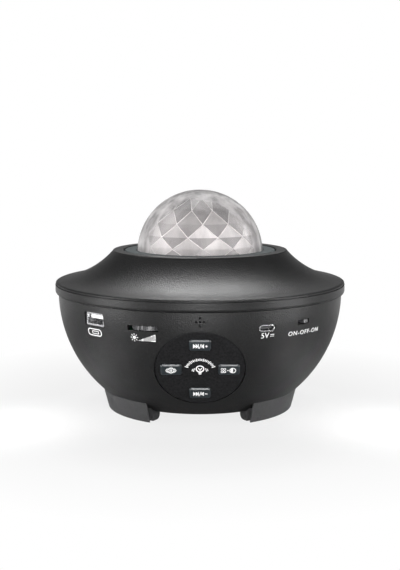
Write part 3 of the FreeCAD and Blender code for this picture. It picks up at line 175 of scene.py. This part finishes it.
# Loudspeaker. A pressed steel basket painted black holds a pulp paper cone over
# the sound holes in the floor, and a ring magnet of grey ferrite is glued on it.
basket_paint = grained_plastic("basket_paint", (0.05, 0.05, 0.052), rough=0.4, grain=500.0,
                               depth=0.00002, fleck=0.15)
dress(basket_paint, "speaker_frame")
cone_paper, tree, shader, place = new_finish("cone_paper", shine=0.3)
pulp = cloud(tree, place, 1100.0, 5.0)
tree.links.new(tones(tree, pulp, (0.018, 0.018, 0.018), (0.05, 0.048, 0.046)), shader.inputs["Base Color"])
shader.inputs["Roughness"].default_value = 0.9
relief(tree, shader, pulp, 0.00008)
dress(cone_paper, "speaker_cone")
ferrite = grained_plastic("ferrite", (0.062, 0.062, 0.066), rough=0.62, grain=700.0,
                          depth=0.00006, fleck=0.3)
dress(ferrite, "speaker_magnet")
dress(pad_rubber, "speaker_gasket")

# Circuit boards. Green glass-fibre boards with a solder mask whose tone shifts
# over the copper under it, cut to a crescent, a disc and a small round.
board_green, tree, shader, place = new_finish("board_green")
tracks = tree.nodes.new("ShaderNodeTexBrick")
tracks.inputs["Scale"].default_value = 260.0
tracks.inputs["Mortar Size"].default_value = 0.035
tracks.inputs["Color1"].default_value = (0.012, 0.085, 0.035, 1.0)
tracks.inputs["Color2"].default_value = (0.010, 0.075, 0.030, 1.0)
tracks.inputs["Mortar"].default_value = (0.025, 0.16, 0.07, 1.0)
tree.links.new(place, tracks.inputs["Vector"])
tree.links.new(tracks.outputs["Color"], shader.inputs["Base Color"])
tree.links.new(between(tree, cloud(tree, place, 120.0), 0.25, 0.4), shader.inputs["Roughness"])
relief(tree, shader, tracks.outputs["Fac"], 0.00003)
dress(board_green, "main_board", "button_board", "led_board")

# Parts on the boards. Chips, capacitors, lead headers, key switches, the receiver
# and the housings behind the wheel and the switch are moulded in dull black, and
# the microphone is a felt-faced can in a rubber boot.
chip_black = grained_plastic("chip_black", (0.03, 0.03, 0.033), rough=0.5, grain=2200.0,
                             depth=0.00002, fleck=0.25)
dress(chip_black, "board_components", "button_keys", "remote_receiver", "dimmer_body", "power_switch_body")
mic_felt = grained_plastic("mic_felt", (0.006, 0.006, 0.006), rough=0.9, grain=1800.0,
                           depth=0.00010, shine=0.05, fleck=0.4)
dress(mic_felt, "microphone")
dress(pad_rubber, "mic_boot")

# Sockets. Folded shells of bright nickel-plated steel round the tongues, white
# nylon in the larger one and dull black in the smaller, with moulded-in contacts.
bright_nickel = worked_metal("bright_nickel", (0.42, 0.42, 0.43), (0.62, 0.62, 0.63), rough=(0.16, 0.30),
                             marks=1600.0, stretch=(1.0, 1.0, 0.12), depth=0.00001, patches=500.0)
dress(bright_nickel, "usb_a_shell", "usb_c_shell")
tongue_white = grained_plastic("tongue_white", (0.78, 0.78, 0.77), rough=0.45, grain=1300.0,
                               depth=0.00002, fleck=0.04)
dress(tongue_white, "usb_a_tongue")
dress(chip_black, "usb_c_tongue")

# Dimmer wheel and switch knob. The ribbed edge of the wheel and the small cap of
# the switch are black nylon, polished by fingers where they stand in their slots.
slider_black = grained_plastic("slider_black", (0.060, 0.060, 0.063), rough=0.32, grain=2400.0,
                               depth=0.00001, shine=0.6, fleck=0.15)
dress(slider_black, "dimmer_wheel", "power_switch_knob")

# Control panel. A separate round plate in a finer grained ABS than the case,
# dropped into its seat so that its face lies flush with the bowl.
panel_black = grained_plastic("panel_black", (0.0095, 0.0095, 0.0102), rough=0.5, grain=1000.0,
                              depth=0.00010, shine=0.16, fleck=0.6)
dress(panel_black, "control_panel")

# Buttons. Four curved caps with a bevelled rim that catches the light, moulded
# in a slate tinted plastic, each on its own key switch.
key_slate = grained_plastic("key_slate", (0.012, 0.017, 0.020), rough=0.34, grain=2000.0,
                            depth=0.00001, shine=0.7, fleck=0.15)
dress(key_slate, "volume_up_button", "volume_down_button", "power_button", "mode_button")

# Carrier deck, motor and gears. The deck, the retainer and both gears are natural
# acetal, and the motor is a zinc-plated can whose pinion turns the gear ring.
acetal = grained_plastic("acetal", (0.70, 0.68, 0.62), rough=0.42, grain=900.0,
                         depth=0.00002, fleck=0.04)
dress(acetal, "carrier_deck", "rotor_retainer", "ring_gear", "drive_pinion")
dress(zinc_steel, "gear_motor", "motor_shaft")

# Light engine. Four emitters on a round board over an aluminium heat sink, with
# clear cone lenses, and a brass laser barrel in the middle of a white tray.
sink_metal = worked_metal("sink_metal", (0.60, 0.60, 0.61), (0.80, 0.80, 0.80), rough=(0.30, 0.48),
                          marks=700.0, stretch=(0.08, 1.0, 1.0), depth=0.00002, detail=3.0)
dress(sink_metal, "heat_sink")
brass = worked_metal("brass", (0.62, 0.42, 0.16), (0.80, 0.58, 0.26), rough=(0.22, 0.38),
                     marks=1400.0, stretch=(0.05, 0.05, 1.0), depth=0.00002)
dress(brass, "laser_module")
tray_white = grained_plastic("tray_white", (0.80, 0.79, 0.78), rough=0.45, grain=1000.0,
                             depth=0.00002, fleck=0.03)
dress(tray_white, "reflector_tray")
phosphor = grained_plastic("phosphor", (0.75, 0.56, 0.10), rough=0.5, grain=1500.0,
                           depth=0.00002, fleck=0.1)
dress(phosphor, "led_emitters")
clear_lens, tree, shader, place = new_finish("clear_lens")
flow = cloud(tree, place, 220.0)
tree.links.new(tones(tree, flow, (0.93, 0.94, 0.95), (1.0, 1.0, 1.0)), shader.inputs["Base Color"])
tree.links.new(between(tree, flow, 0.02, 0.07), shader.inputs["Roughness"])
shader.inputs["IOR"].default_value = 1.49
shader.inputs["Transmission Weight"].default_value = 1.0
relief(tree, shader, flow, 0.00001, 0.2)
dress(clear_lens, "led_lenses", "laser_lens")

# Collar ring. A flat slate-grey ring that clamps the dome to the gear and turns
# with it, with a narrow shadow gap to the lid.
collar_slate = grained_plastic("collar_slate", (0.078, 0.090, 0.092), rough=0.6, grain=1500.0,
                               depth=0.00003, shine=0.08, fleck=0.2)
dress(collar_slate, "collar_ring")

# Dome. Clear acrylic, polished outside and moulded inside into rings of flat
# triangles, each painted lighter or darker by the way it faces, as painted light and shade.
DOME_CENTRE = Vector((0.0, 0.0, 0.090))
FACET_REACH = 0.034
FACETS_ROUND = 12
FACET_TURN = 3.1
SKIN_STEP = 0.0013
# Painted light: how many times round the dome the facets' painted brightness rises and falls.
PAINTED_LIGHT_SECTORS = FACETS_ROUND / 2
FACET_PINK = 0.965
# Each pair is how much a facet's face looks up, from 0 to 1, and its painted shade from there on.
FACET_PAINTED_SHADES = ((0.0, 0.74), (0.10, 0.80), (0.20, 0.72), (0.283, 0.70), (0.348, 0.41), (0.454, 0.45),
               (0.557, 0.50), (0.640, 0.40), (0.770, 0.32), (0.857, 0.30), (0.930, 0.32))


def feed(tree, node, *values):
    """Give a node its inputs in their order, from sockets or plain values."""
    for socket, value in zip(node.inputs, values):
        if isinstance(value, bpy.types.NodeSocket):
            tree.links.new(value, socket)
        else:
            socket.default_value = value
    return node


def maths(tree, operation, *values, clamp=False):
    """Number worked out from other numbers."""
    node = tree.nodes.new("ShaderNodeMath")
    node.operation = operation
    node.use_clamp = clamp
    return feed(tree, node, *values).outputs[0]


def vector_maths(tree, operation, *values):
    """Node that works out a vector, or a number in its output called Value."""
    node = tree.nodes.new("ShaderNodeVectorMath")
    node.operation = operation
    return feed(tree, node, *values)


def mixed(tree, share, under, over):
    """Shader that goes from one to another by a share."""
    return feed(tree, tree.nodes.new("ShaderNodeMixShader"), share, under, over).outputs[0]


def painted_facet_shade(tree, facing, streak):
    """Facet colour with painted light and shade by its ring and its place in it, livened by chance and
    streaks.
    """
    parts = feed(tree, tree.nodes.new("ShaderNodeSeparateXYZ"), facing)
    ring = tree.nodes.new("ShaderNodeValToRGB")
    ring.color_ramp.interpolation = "CONSTANT"
    for index, (level, value) in enumerate(FACET_PAINTED_SHADES):
        if index > 1:
            ring.color_ramp.elements.new(level)
        ring.color_ramp.elements[index].position = level
        ring.color_ramp.elements[index].color = (value, value * FACET_PINK, value * FACET_PINK, 1.0)
    # Painted shade: facets that look further up are mostly painted darker.
    tree.links.new(maths(tree, "ABSOLUTE", parts.outputs["Z"]), ring.inputs["Fac"])
    around = maths(tree, "ARCTAN2", parts.outputs["X"], parts.outputs["Y"])
    # Painted light and shade: facets turned one way round the dome are painted lighter than the others.
    sector = maths(tree, "MULTIPLY_ADD", around, PAINTED_LIGHT_SECTORS, math.radians(PAINTED_LIGHT_SECTORS * FACET_TURN))
    painted_light_by_turn = maths(tree, "COSINE", sector)
    one_facet = vector_maths(tree, "SNAP", facing, (0.05, 0.05, 0.05))
    chance = tree.nodes.new("ShaderNodeTexWhiteNoise")
    tree.links.new(one_facet.outputs[0], chance.inputs["Vector"])
    lively = maths(tree, "MULTIPLY", between(tree, chance.outputs["Value"], 0.86, 1.12, 0.0, 1.0),
                   between(tree, streak, 0.84, 1.14, 0.36, 0.64))
    varied = maths(tree, "MULTIPLY", lively, between(tree, painted_light_by_turn, 0.70, 1.0, -1.0, 1.0))
    tone = vector_maths(tree, "SCALE", ring.outputs["Color"])
    tree.links.new(varied, tone.inputs["Scale"])
    return tone.outputs[0]


def clear_skin(tree, place):
    """Clear outer skin that turns hazy where it is seen at a slant."""
    clear = tree.nodes.new("ShaderNodeBsdfTransparent")
    clear.inputs["Color"].default_value = (0.985, 0.975, 0.975, 1.0)
    haze = tree.nodes.new("ShaderNodeBsdfPrincipled")
    gleam = cloud(tree, place, 150.0, 4.0, (1.0, 1.0, 0.45))
    tree.links.new(tones(tree, gleam, (0.19, 0.186, 0.187), (0.56, 0.545, 0.545), 0.38, 0.68),
                   haze.inputs["Base Color"])
    haze.inputs["Roughness"].default_value = 0.35
    haze.inputs["Specular IOR Level"].default_value = 0.06
    grazing = tree.nodes.new("ShaderNodeLayerWeight")
    grazing.inputs["Blend"].default_value = 0.5
    slant = between(tree, grazing.outputs["Facing"], 0.04, 0.92, 0.17, 0.70)
    return mixed(tree, slant, clear.outputs[0], haze.outputs[0])


dome_clear, tree, shader, place = new_finish("dome_clear", shine=0.2)
streak = cloud(tree, place, 95.0, 3.0, (1.0, 1.0, 0.35))
tree.links.new(painted_facet_shade(tree, place.node.outputs["Normal"], streak), shader.inputs["Base Color"])
tree.links.new(between(tree, streak, 0.22, 0.36), shader.inputs["Roughness"])
relief(tree, shader, streak, 0.0003, 0.3)
away = vector_maths(tree, "DISTANCE", place, DOME_CENTRE)
on_skin = maths(tree, "GREATER_THAN", away.outputs["Value"], FACET_REACH + SKIN_STEP)
whole = mixed(tree, on_skin, shader.outputs[0], clear_skin(tree, place))
tree.links.new(whole, tree.nodes["Material Output"].inputs["Surface"])
dress(dome_clear, "dome")

# Facet edges. The mould leaves a fine rounded line along each slanting edge of
# the triangles and round the flat cap, and these lines are painted near white as a painted highlight.
EDGE_R = 0.00026
FACET_ROWS = (-1.5, 8.0, 19.0, 32.5, 49.0, 70.0)
FACET_PITCH = 360.0 / FACETS_ROUND
HALF_PITCH = FACET_PITCH / 2


def alone(thing):
    """Select one thing and nothing else."""
    bpy.ops.object.select_all(action="DESELECT")
    thing.select_set(True)
    bpy.context.view_layer.objects.active = thing


def divide(thing, cuts):
    """Divide each edge of a thing, so that it can follow what it lies on."""
    alone(thing)
    bpy.ops.object.mode_set(mode="EDIT")
    bpy.ops.mesh.select_all(action="SELECT")
    bpy.ops.mesh.subdivide(number_cuts=cuts)
    bpy.ops.object.mode_set(mode="OBJECT")


def as_one(name, pieces):
    """Join loose pieces into one, with its place in its mesh."""
    alone(pieces[0])
    for piece in pieces[1:]:
        piece.select_set(True)
    if len(pieces) > 1:
        bpy.ops.object.join()
    whole = bpy.context.object
    whole.name = name
    bpy.ops.object.transform_apply(location=True, rotation=True, scale=True)
    return whole


def facet_corner(row, azimuth):
    """Corner where facets meet, on a ring and at an angle from the front."""
    level = math.radians(FACET_ROWS[row])
    turn = math.radians(azimuth)
    out = FACET_REACH * math.cos(level)
    return DOME_CENTRE + Vector((out * math.sin(turn), -out * math.cos(turn), FACET_REACH * math.sin(level)))


def edge_line(low, high):
    """Copy of the one line, laid from corner to corner."""
    copy = line.copy()
    copy.data = line.data.copy()
    bpy.context.scene.collection.objects.link(copy)
    copy.location = (low + high) / 2
    copy.rotation_euler = (high - low).to_track_quat("Z", "Y").to_euler()
    copy.scale = (1.0, 1.0, (high - low).length)
    return copy


bpy.ops.object.select_all(action="DESELECT")
bpy.ops.mesh.primitive_cylinder_add(vertices=8, radius=EDGE_R, depth=1.0)
line = bpy.context.object
divide(line, 2)
edges = []
cap = len(FACET_ROWS) - 1
for step in range(FACETS_ROUND):
    start = FACET_PITCH * step + FACET_TURN
    for row in range(cap):
        here = start + (HALF_PITCH if row % 2 == 0 else 0.0)
        for side in (-HALF_PITCH, HALF_PITCH):
            edges.append(edge_line(facet_corner(row, here), facet_corner(row + 1, here + side)))
    edges.append(edge_line(facet_corner(cap, start), facet_corner(cap, start + FACET_PITCH)))
dome_edges = as_one("dome_facet_edges", edges)
bpy.data.objects.remove(line)
edge_painted_highlight, tree, shader, place = new_finish("edge_painted_highlight")
# Painted highlight: the clear ridges are coloured near white, with random tone.
tree.links.new(tones(tree, cloud(tree, place, 160.0), (0.78, 0.75, 0.75), (0.95, 0.93, 0.93)),
               shader.inputs["Base Color"])
shader.inputs["Roughness"].default_value = 0.3
dome_edges.data.materials.clear()
dome_edges.data.materials.append(edge_painted_highlight)
bpy.ops.object.shade_smooth()
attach(dome_edges, "rotor")

# Top cover. The flared lid drops over the bowl's lip in the same black ABS, with
# a flat plateau round the collar and a fine groove along its rim.
dress(case_black, "top_cover")

# Marks on the wall. White and grey ink is pad-printed on the bowl after moulding,
# a tenth of a millimetre thick, below each socket, wheel or switch. All sizes on
# a print are in millimetres, and angles in degrees.
MM = 0.001
INK_T = 0.1 * MM
INK_PROUD = 0.04 * MM
CAPITAL_SHARE = 0.69
IN_FRONT = 88.0 * MM
WEDGE_LONG = 9.6
WEDGE_TALL = 3.9
WEDGE_FALL = 3.7


def bar(width, height, x=0.0, y=0.0, turn=0.0):
    """Printed bar, flat on the ground."""
    bpy.ops.object.select_all(action="DESELECT")
    bpy.ops.mesh.primitive_plane_add(size=MM, location=(x * MM, y * MM, 0.0),
                                     rotation=(0.0, 0.0, math.radians(turn)))
    strip = bpy.context.object
    strip.scale = (width, height, 1.0)
    bpy.ops.object.transform_apply(location=True, rotation=True, scale=True)
    return strip


def dot(radius, x=0.0, y=0.0, corners=28, turn=0.0):
    """Printed disc, or a triangle or other small shape with few corners."""
    bpy.ops.object.select_all(action="DESELECT")
    bpy.ops.mesh.primitive_circle_add(vertices=corners, radius=radius * MM, fill_type="NGON",
                                      location=(x * MM, y * MM, 0.0), rotation=(0.0, 0.0, math.radians(turn)))
    bpy.ops.object.transform_apply(location=True, rotation=True, scale=True)
    return bpy.context.object


def outline(shape, line, round_by=0.0):
    """Leave only a line of a width round a shape, its corners rounded first."""
    alone(shape)
    bpy.ops.object.mode_set(mode="EDIT")
    bpy.ops.mesh.select_all(action="SELECT")
    if round_by:
        bpy.ops.mesh.bevel(offset=round_by * MM, segments=7, affect="VERTICES")
        bpy.ops.mesh.select_all(action="SELECT")
    bpy.ops.mesh.inset(thickness=line * MM)
    bpy.ops.mesh.delete(type="FACE")
    bpy.ops.object.mode_set(mode="OBJECT")
    divide(shape, 3)
    return shape


def word(text, height, x=0.0, thick=0.0, wide=1.0, spacing=1.06):
    """Printed letters, centred on a point."""
    bpy.ops.object.select_all(action="DESELECT")
    bpy.ops.object.text_add()
    letters = bpy.context.object
    letters.data.body = text
    letters.data.size = height * MM / CAPITAL_SHARE
    letters.data.align_x = "CENTER"
    letters.data.align_y = "CENTER"
    letters.data.offset = thick * MM
    letters.data.space_character = spacing
    letters.data.resolution_u = 4
    bpy.ops.object.convert(target="MESH")
    letters = bpy.context.object
    letters.scale = (wide, 1.0, 1.0)
    letters.location = (x * MM, 0.0, 0.0)
    bpy.ops.object.transform_apply(location=True, rotation=True, scale=True)
    return letters


def printing_ink(name, dark, light, rough):
    """Thin ink, specked where the grain of the plastic shows through."""
    material, tree, shader, place = new_finish(name, shine=0.4)
    speck = cloud(tree, place, 2600.0)
    tree.links.new(tones(tree, speck, (dark, dark, dark), (light, light, light)), shader.inputs["Base Color"])
    tree.links.new(between(tree, speck, *rough), shader.inputs["Roughness"])
    return material


def printed(name, pieces, place, turn, carrier, body, ink):
    """Stamp flat pieces on the carrier in front of a place, and give the ink its thickness."""
    mark = as_one(name, pieces)
    mark.location = place
    mark.rotation_euler = turn
    wrap = mark.modifiers.new("onto", "SHRINKWRAP")
    wrap.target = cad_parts[carrier]
    wrap.wrap_method = "PROJECT"
    wrap.use_project_z = True
    wrap.use_negative_direction = True
    wrap.use_positive_direction = False
    wrap.offset = INK_PROUD + INK_T
    wrap.wrap_mode = "ABOVE_SURFACE"
    coat = mark.modifiers.new("coat", "SOLIDIFY")
    coat.thickness = INK_T
    coat.offset = -1.0
    alone(mark)
    bpy.ops.object.modifier_apply(modifier="onto")
    bpy.ops.object.modifier_apply(modifier="coat")
    bpy.ops.object.transform_apply(location=True, rotation=True, scale=True)
    mark.data.materials.clear()
    mark.data.materials.append(ink)
    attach(mark, body)


ink_white = printing_ink("ink_white", 0.76, 0.92, rough=(0.45, 0.62))
ink_grey = printing_ink("ink_grey", 0.20, 0.42, rough=(0.6, 0.6))


def print_on_wall(name, pieces, azimuth, height, ink=ink_white):
    """Print on the bowl at an angle from the front and a height."""
    side = math.radians(azimuth)
    place = Vector((IN_FRONT * math.sin(side), -IN_FRONT * math.cos(side), height * MM))
    printed(name, pieces, place, (math.radians(90.0), 0.0, side), "lower_shell", "base", ink)


stick = [outline(bar(11.0, 4.0), 0.5, 1.9), outline(bar(5.0, 1.7, 0.7), 0.36, 0.3)]
print_on_wall("stick_mark", stick, -44.0, 53.3)

sun = [dot(0.85)]
for ray in range(8):
    lean = 45.0 * ray
    angle = math.radians(lean)
    sun.append(bar(0.85, 0.34, 1.72 * math.cos(angle), 1.72 * math.sin(angle), lean))
print_on_wall("sun_mark", sun, -24.9, 53.4)

wedge = bar(WEDGE_LONG, WEDGE_TALL)
bpy.ops.object.mode_set(mode="EDIT")
bpy.ops.mesh.select_all(action="DESELECT")
bpy.ops.object.mode_set(mode="OBJECT")
for corner in wedge.data.vertices:
    corner.select = corner.co.x < 0.0 and corner.co.y > 0.0
bpy.ops.object.mode_set(mode="EDIT")
bpy.ops.transform.translate(value=(0.0, -WEDGE_FALL * MM, 0.0))
bpy.ops.mesh.select_all(action="SELECT")
bpy.ops.mesh.duplicate()
bpy.ops.mesh.separate(type="SELECTED")
bpy.ops.object.mode_set(mode="OBJECT")
filling = next(o for o in bpy.context.selected_objects if o != wedge)
outline(wedge, 0.34)
divide(filling, 5)
print_on_wall("dimmer_wedge", [wedge], -19.8, 53.7)
print_on_wall("dimmer_wedge_tint", [filling], -19.8, 53.7, ink_grey)

supply = [word("5V", 2.9, -1.3, thick=0.03), bar(2.2, 0.36, 3.0, 0.45)]
for x in (2.15, 3.0, 3.85):
    supply.append(bar(0.5, 0.36, x, -0.45))
print_on_wall("supply_mark", supply, 25.5, 54.2)

states = [word("ON-OFF-ON", 2.3, wide=1.12, spacing=1.2)]
print_on_wall("switch_mark", states, 43.5, 53.6)

# Marks on the panel. A small bulb with its rays stands in the middle, under an
# arc of short strokes, pad-printed in the same white ink as the wall's marks.
PANEL_TILT = math.radians(26.396)
PANEL_MIDDLE = Vector((0.0, -0.07091, 0.03638))
UPRIGHT = (math.radians(90.0) + PANEL_TILT, 0.0, 0.0)
OUTWARD = Vector((0.0, -math.cos(PANEL_TILT), -math.sin(PANEL_TILT)))
UPWARD = Vector((0.0, -math.sin(PANEL_TILT), math.cos(PANEL_TILT)))
ACROSS = Vector((1.0, 0.0, 0.0))
BEFORE_PANEL = 3.0 * MM
STROKES = 21
STROKE_PITCH = 6.8
STROKE_TALL = (1.9, 1.2, 1.5, 1.2)
ARC_R = 7.6
ARC_DROP = 1.2


def print_on_panel(name, pieces, x, y, carrier="control_panel", body="base"):
    """Print on the panel or on a button, at a distance from the panel's middle."""
    place = PANEL_MIDDLE + ACROSS * (x * MM) + UPWARD * (y * MM) + OUTWARD * BEFORE_PANEL
    printed(name, pieces, place, UPRIGHT, carrier, body, ink_white)


bulb = [outline(dot(2.3, 0.0, 0.3), 0.62), bar(1.9, 0.5, 0.0, -2.35), bar(1.3, 0.5, 0.0, -3.1),
        bar(1.9, 0.45, -0.45, 0.05, -62.0), bar(1.9, 0.45, 0.45, 0.05, 62.0)]
for side in (-1.0, 1.0):
    for reach, tall in ((3.2, 2.3), (4.0, 1.4)):
        bulb.append(bar(0.42, tall, side * reach, -0.4, side * 14.0))
for step in range(STROKES):
    lean = STROKE_PITCH * (step - STROKES // 2)
    angle = math.radians(lean)
    tall = STROKE_TALL[step % 4]
    bulb.append(bar(0.5, tall, ARC_R * math.sin(angle), ARC_R * math.cos(angle) - ARC_DROP, -lean))
print_on_panel("panel_mark", bulb, 0.0, -0.6)

# Marks on the buttons. Plain player symbols, printed on each cap's flat face, so
# they move in with the cap when it is pressed.


def player_mark(end):
    """Two arrowheads, a slash, a speaker and a plus or minus."""
    glyphs = [dot(1.0, -3.1, 0.0, 3, -90.0), dot(1.0, -1.75, 0.0, 3, -90.0)]
    for arrow in glyphs:
        arrow.scale = (1.0, 1.75, 1.0)
    glyphs += [bar(0.4, 2.9, -0.85, 0.0), bar(0.36, 3.1, 0.15, 0.0, -18.0), bar(0.7, 1.3, 1.0, 0.0)]
    horn = dot(1.05, 1.75, 0.0, 3, 90.0)
    horn.scale = (0.9, 1.65, 1.0)
    glyphs += [horn, bar(1.3, 0.42, 3.3, 0.0)]
    if end == "plus":
        glyphs.append(bar(0.42, 1.5, 3.3, 0.0))
    return glyphs


print_on_panel("volume_up_mark", player_mark("plus"), 0.0, 15.25, "volume_up_button", "volume_up")
print_on_panel("volume_down_mark", player_mark("minus"), 0.0, -16.65, "volume_down_button", "volume_down")

power = [outline(dot(1.85), 0.45), bar(0.45, 1.7, -0.45, 0.0), bar(0.45, 1.7, 0.45, 0.0),
         bar(0.42, 1.7, -2.3, 0.55, -38.0), bar(0.42, 1.7, 2.3, 0.55, 38.0),
         bar(0.42, 1.7, -2.3, -0.55, 38.0), bar(0.42, 1.7, 2.3, -0.55, -38.0)]
print_on_panel("power_mark", power, -15.2, -0.7, "power_button", "power_key")

mode = [outline(dot(1.75, 1.9), 0.36), bar(1.3, 2.6, 1.4, 0.0), bar(0.9, 0.4, -0.6, 0.0)]
for x in (-3.6, -2.3):
    for y in (-0.85, 0.85):
        mode.append(outline(dot(0.75, x, y, 12), 0.3))
print_on_panel("mode_mark", mode, 15.2, -0.7, "mode_button", "mode_key")

# Studio. A white table and a low round white wall about the lamp, under a dim sky.
# Tall soft boxes stand at both sides, spots light the table beside the bowl, low
# strips stand in front and at the sides, and larger boxes hang before and above.
STUDIO_R = 3.0
WALL_HEIGHT = 0.8
SKY_STRENGTH = 0.08
MIDDLE = (0.0, 0.0, 0.06)

bpy.ops.object.select_all(action="DESELECT")
bpy.ops.mesh.primitive_circle_add(vertices=96, radius=STUDIO_R, fill_type="NGON")
floor = bpy.context.object
floor.name = "studio_floor"
bpy.ops.mesh.primitive_cylinder_add(vertices=96, radius=STUDIO_R, depth=WALL_HEIGHT, end_fill_type="NOTHING",
                                    location=(0.0, 0.0, WALL_HEIGHT / 2))
wall = bpy.context.object
wall.name = "studio_wall"
bpy.ops.object.transform_apply(location=True)


def studio_white(name, tone, seen, nearest, shown, mirrored):
    """Matte white that looks plain to the camera, and in mirrors, from a distance on."""
    material, tree, shader, place = new_finish(name, shine=0.1)
    shader.inputs["Base Color"].default_value = (tone, tone, tone, 1.0)
    shader.inputs["Roughness"].default_value = 0.9
    rays = tree.nodes.new("ShaderNodeLightPath")
    away = vector_maths(tree, "LENGTH", place).outputs["Value"]
    plain = between(tree, away, nearest, 1.0, *seen)
    bright = between(tree, away, 0.0, mirrored, *shown)
    bent = maths(tree, "ADD", rays.outputs["Is Glossy Ray"], rays.outputs["Is Transmission Ray"], clamp=True)
    share = maths(tree, "ADD", maths(tree, "MULTIPLY", plain, rays.outputs["Is Camera Ray"], clamp=True),
                  maths(tree, "MULTIPLY", bright, bent, clamp=True), clamp=True)
    glow = tree.nodes.new("ShaderNodeEmission")
    blend = mixed(tree, share, shader.outputs[0], glow.outputs[0])
    tree.links.new(blend, tree.nodes["Material Output"].inputs["Surface"])
    return material


floor.data.materials.append(studio_white("table_white", 0.35, seen=(0.09, 0.20), nearest=0.80,
                                         shown=(0.16, 0.40), mirrored=1.0))
wall.data.materials.append(studio_white("wall_white", 0.85, seen=(0.5, 1.0), nearest=1.0,
                                        shown=(0.5, 1.0), mirrored=0.35))

world = bpy.data.worlds.new("studio")
world.use_nodes = True
bpy.context.scene.world = world
sky = world.node_tree.nodes["Background"]
sky.inputs["Color"].default_value = (1.0, 1.0, 1.0, 1.0)
sky.inputs["Strength"].default_value = SKY_STRENGTH


def soft_box(name, place, aim, width, height, power, spread):
    """Rectangular soft box with a grid that faces a point, with its power in watts."""
    light = bpy.data.lights.new(name, "AREA")
    light.shape = "RECTANGLE"
    light.size = width
    light.size_y = height
    light.energy = power
    light.spread = math.radians(spread)
    lamp = bpy.data.objects.new(name, light)
    bpy.context.scene.collection.objects.link(lamp)
    lamp.location = place
    lamp.rotation_euler = (Vector(aim) - Vector(place)).to_track_quat("-Z", "Y").to_euler()


for side, x in (("left", -1.0), ("right", 1.0)):
    soft_box(side + "_box", (x * 0.97, -0.27, 0.42), MIDDLE, 0.09, 0.56, power=0.75, spread=60.0)
for side, x in (("left", -1.0), ("right", 1.0)):
    soft_box(side + "_low_box", (x * 0.34, -0.15, 0.36), (x * 0.112, -0.055, 0.0), 0.06, 0.06,
             power=0.075, spread=12.0)
soft_box("low_front_strip", (0.0, -0.42, 0.035), (0.0, -0.08, 0.055), 0.13, 0.05, power=0.26, spread=120.0)
for side, x in (("left", -1.0), ("right", 1.0)):
    soft_box("low_" + side + "_strip", (x * 0.40, -0.20, 0.035), (x * 0.06, -0.05, 0.050), 0.12, 0.05,
             power=0.32, spread=120.0)
soft_box("front_box", (0.0, -1.5, 0.50), MIDDLE, 0.40, 0.30, power=1.35, spread=60.0)
soft_box("top_box", (0.0, 0.65, 1.05), (0.0, -0.03, 0.08), 0.60, 0.22, power=0.80, spread=40.0)
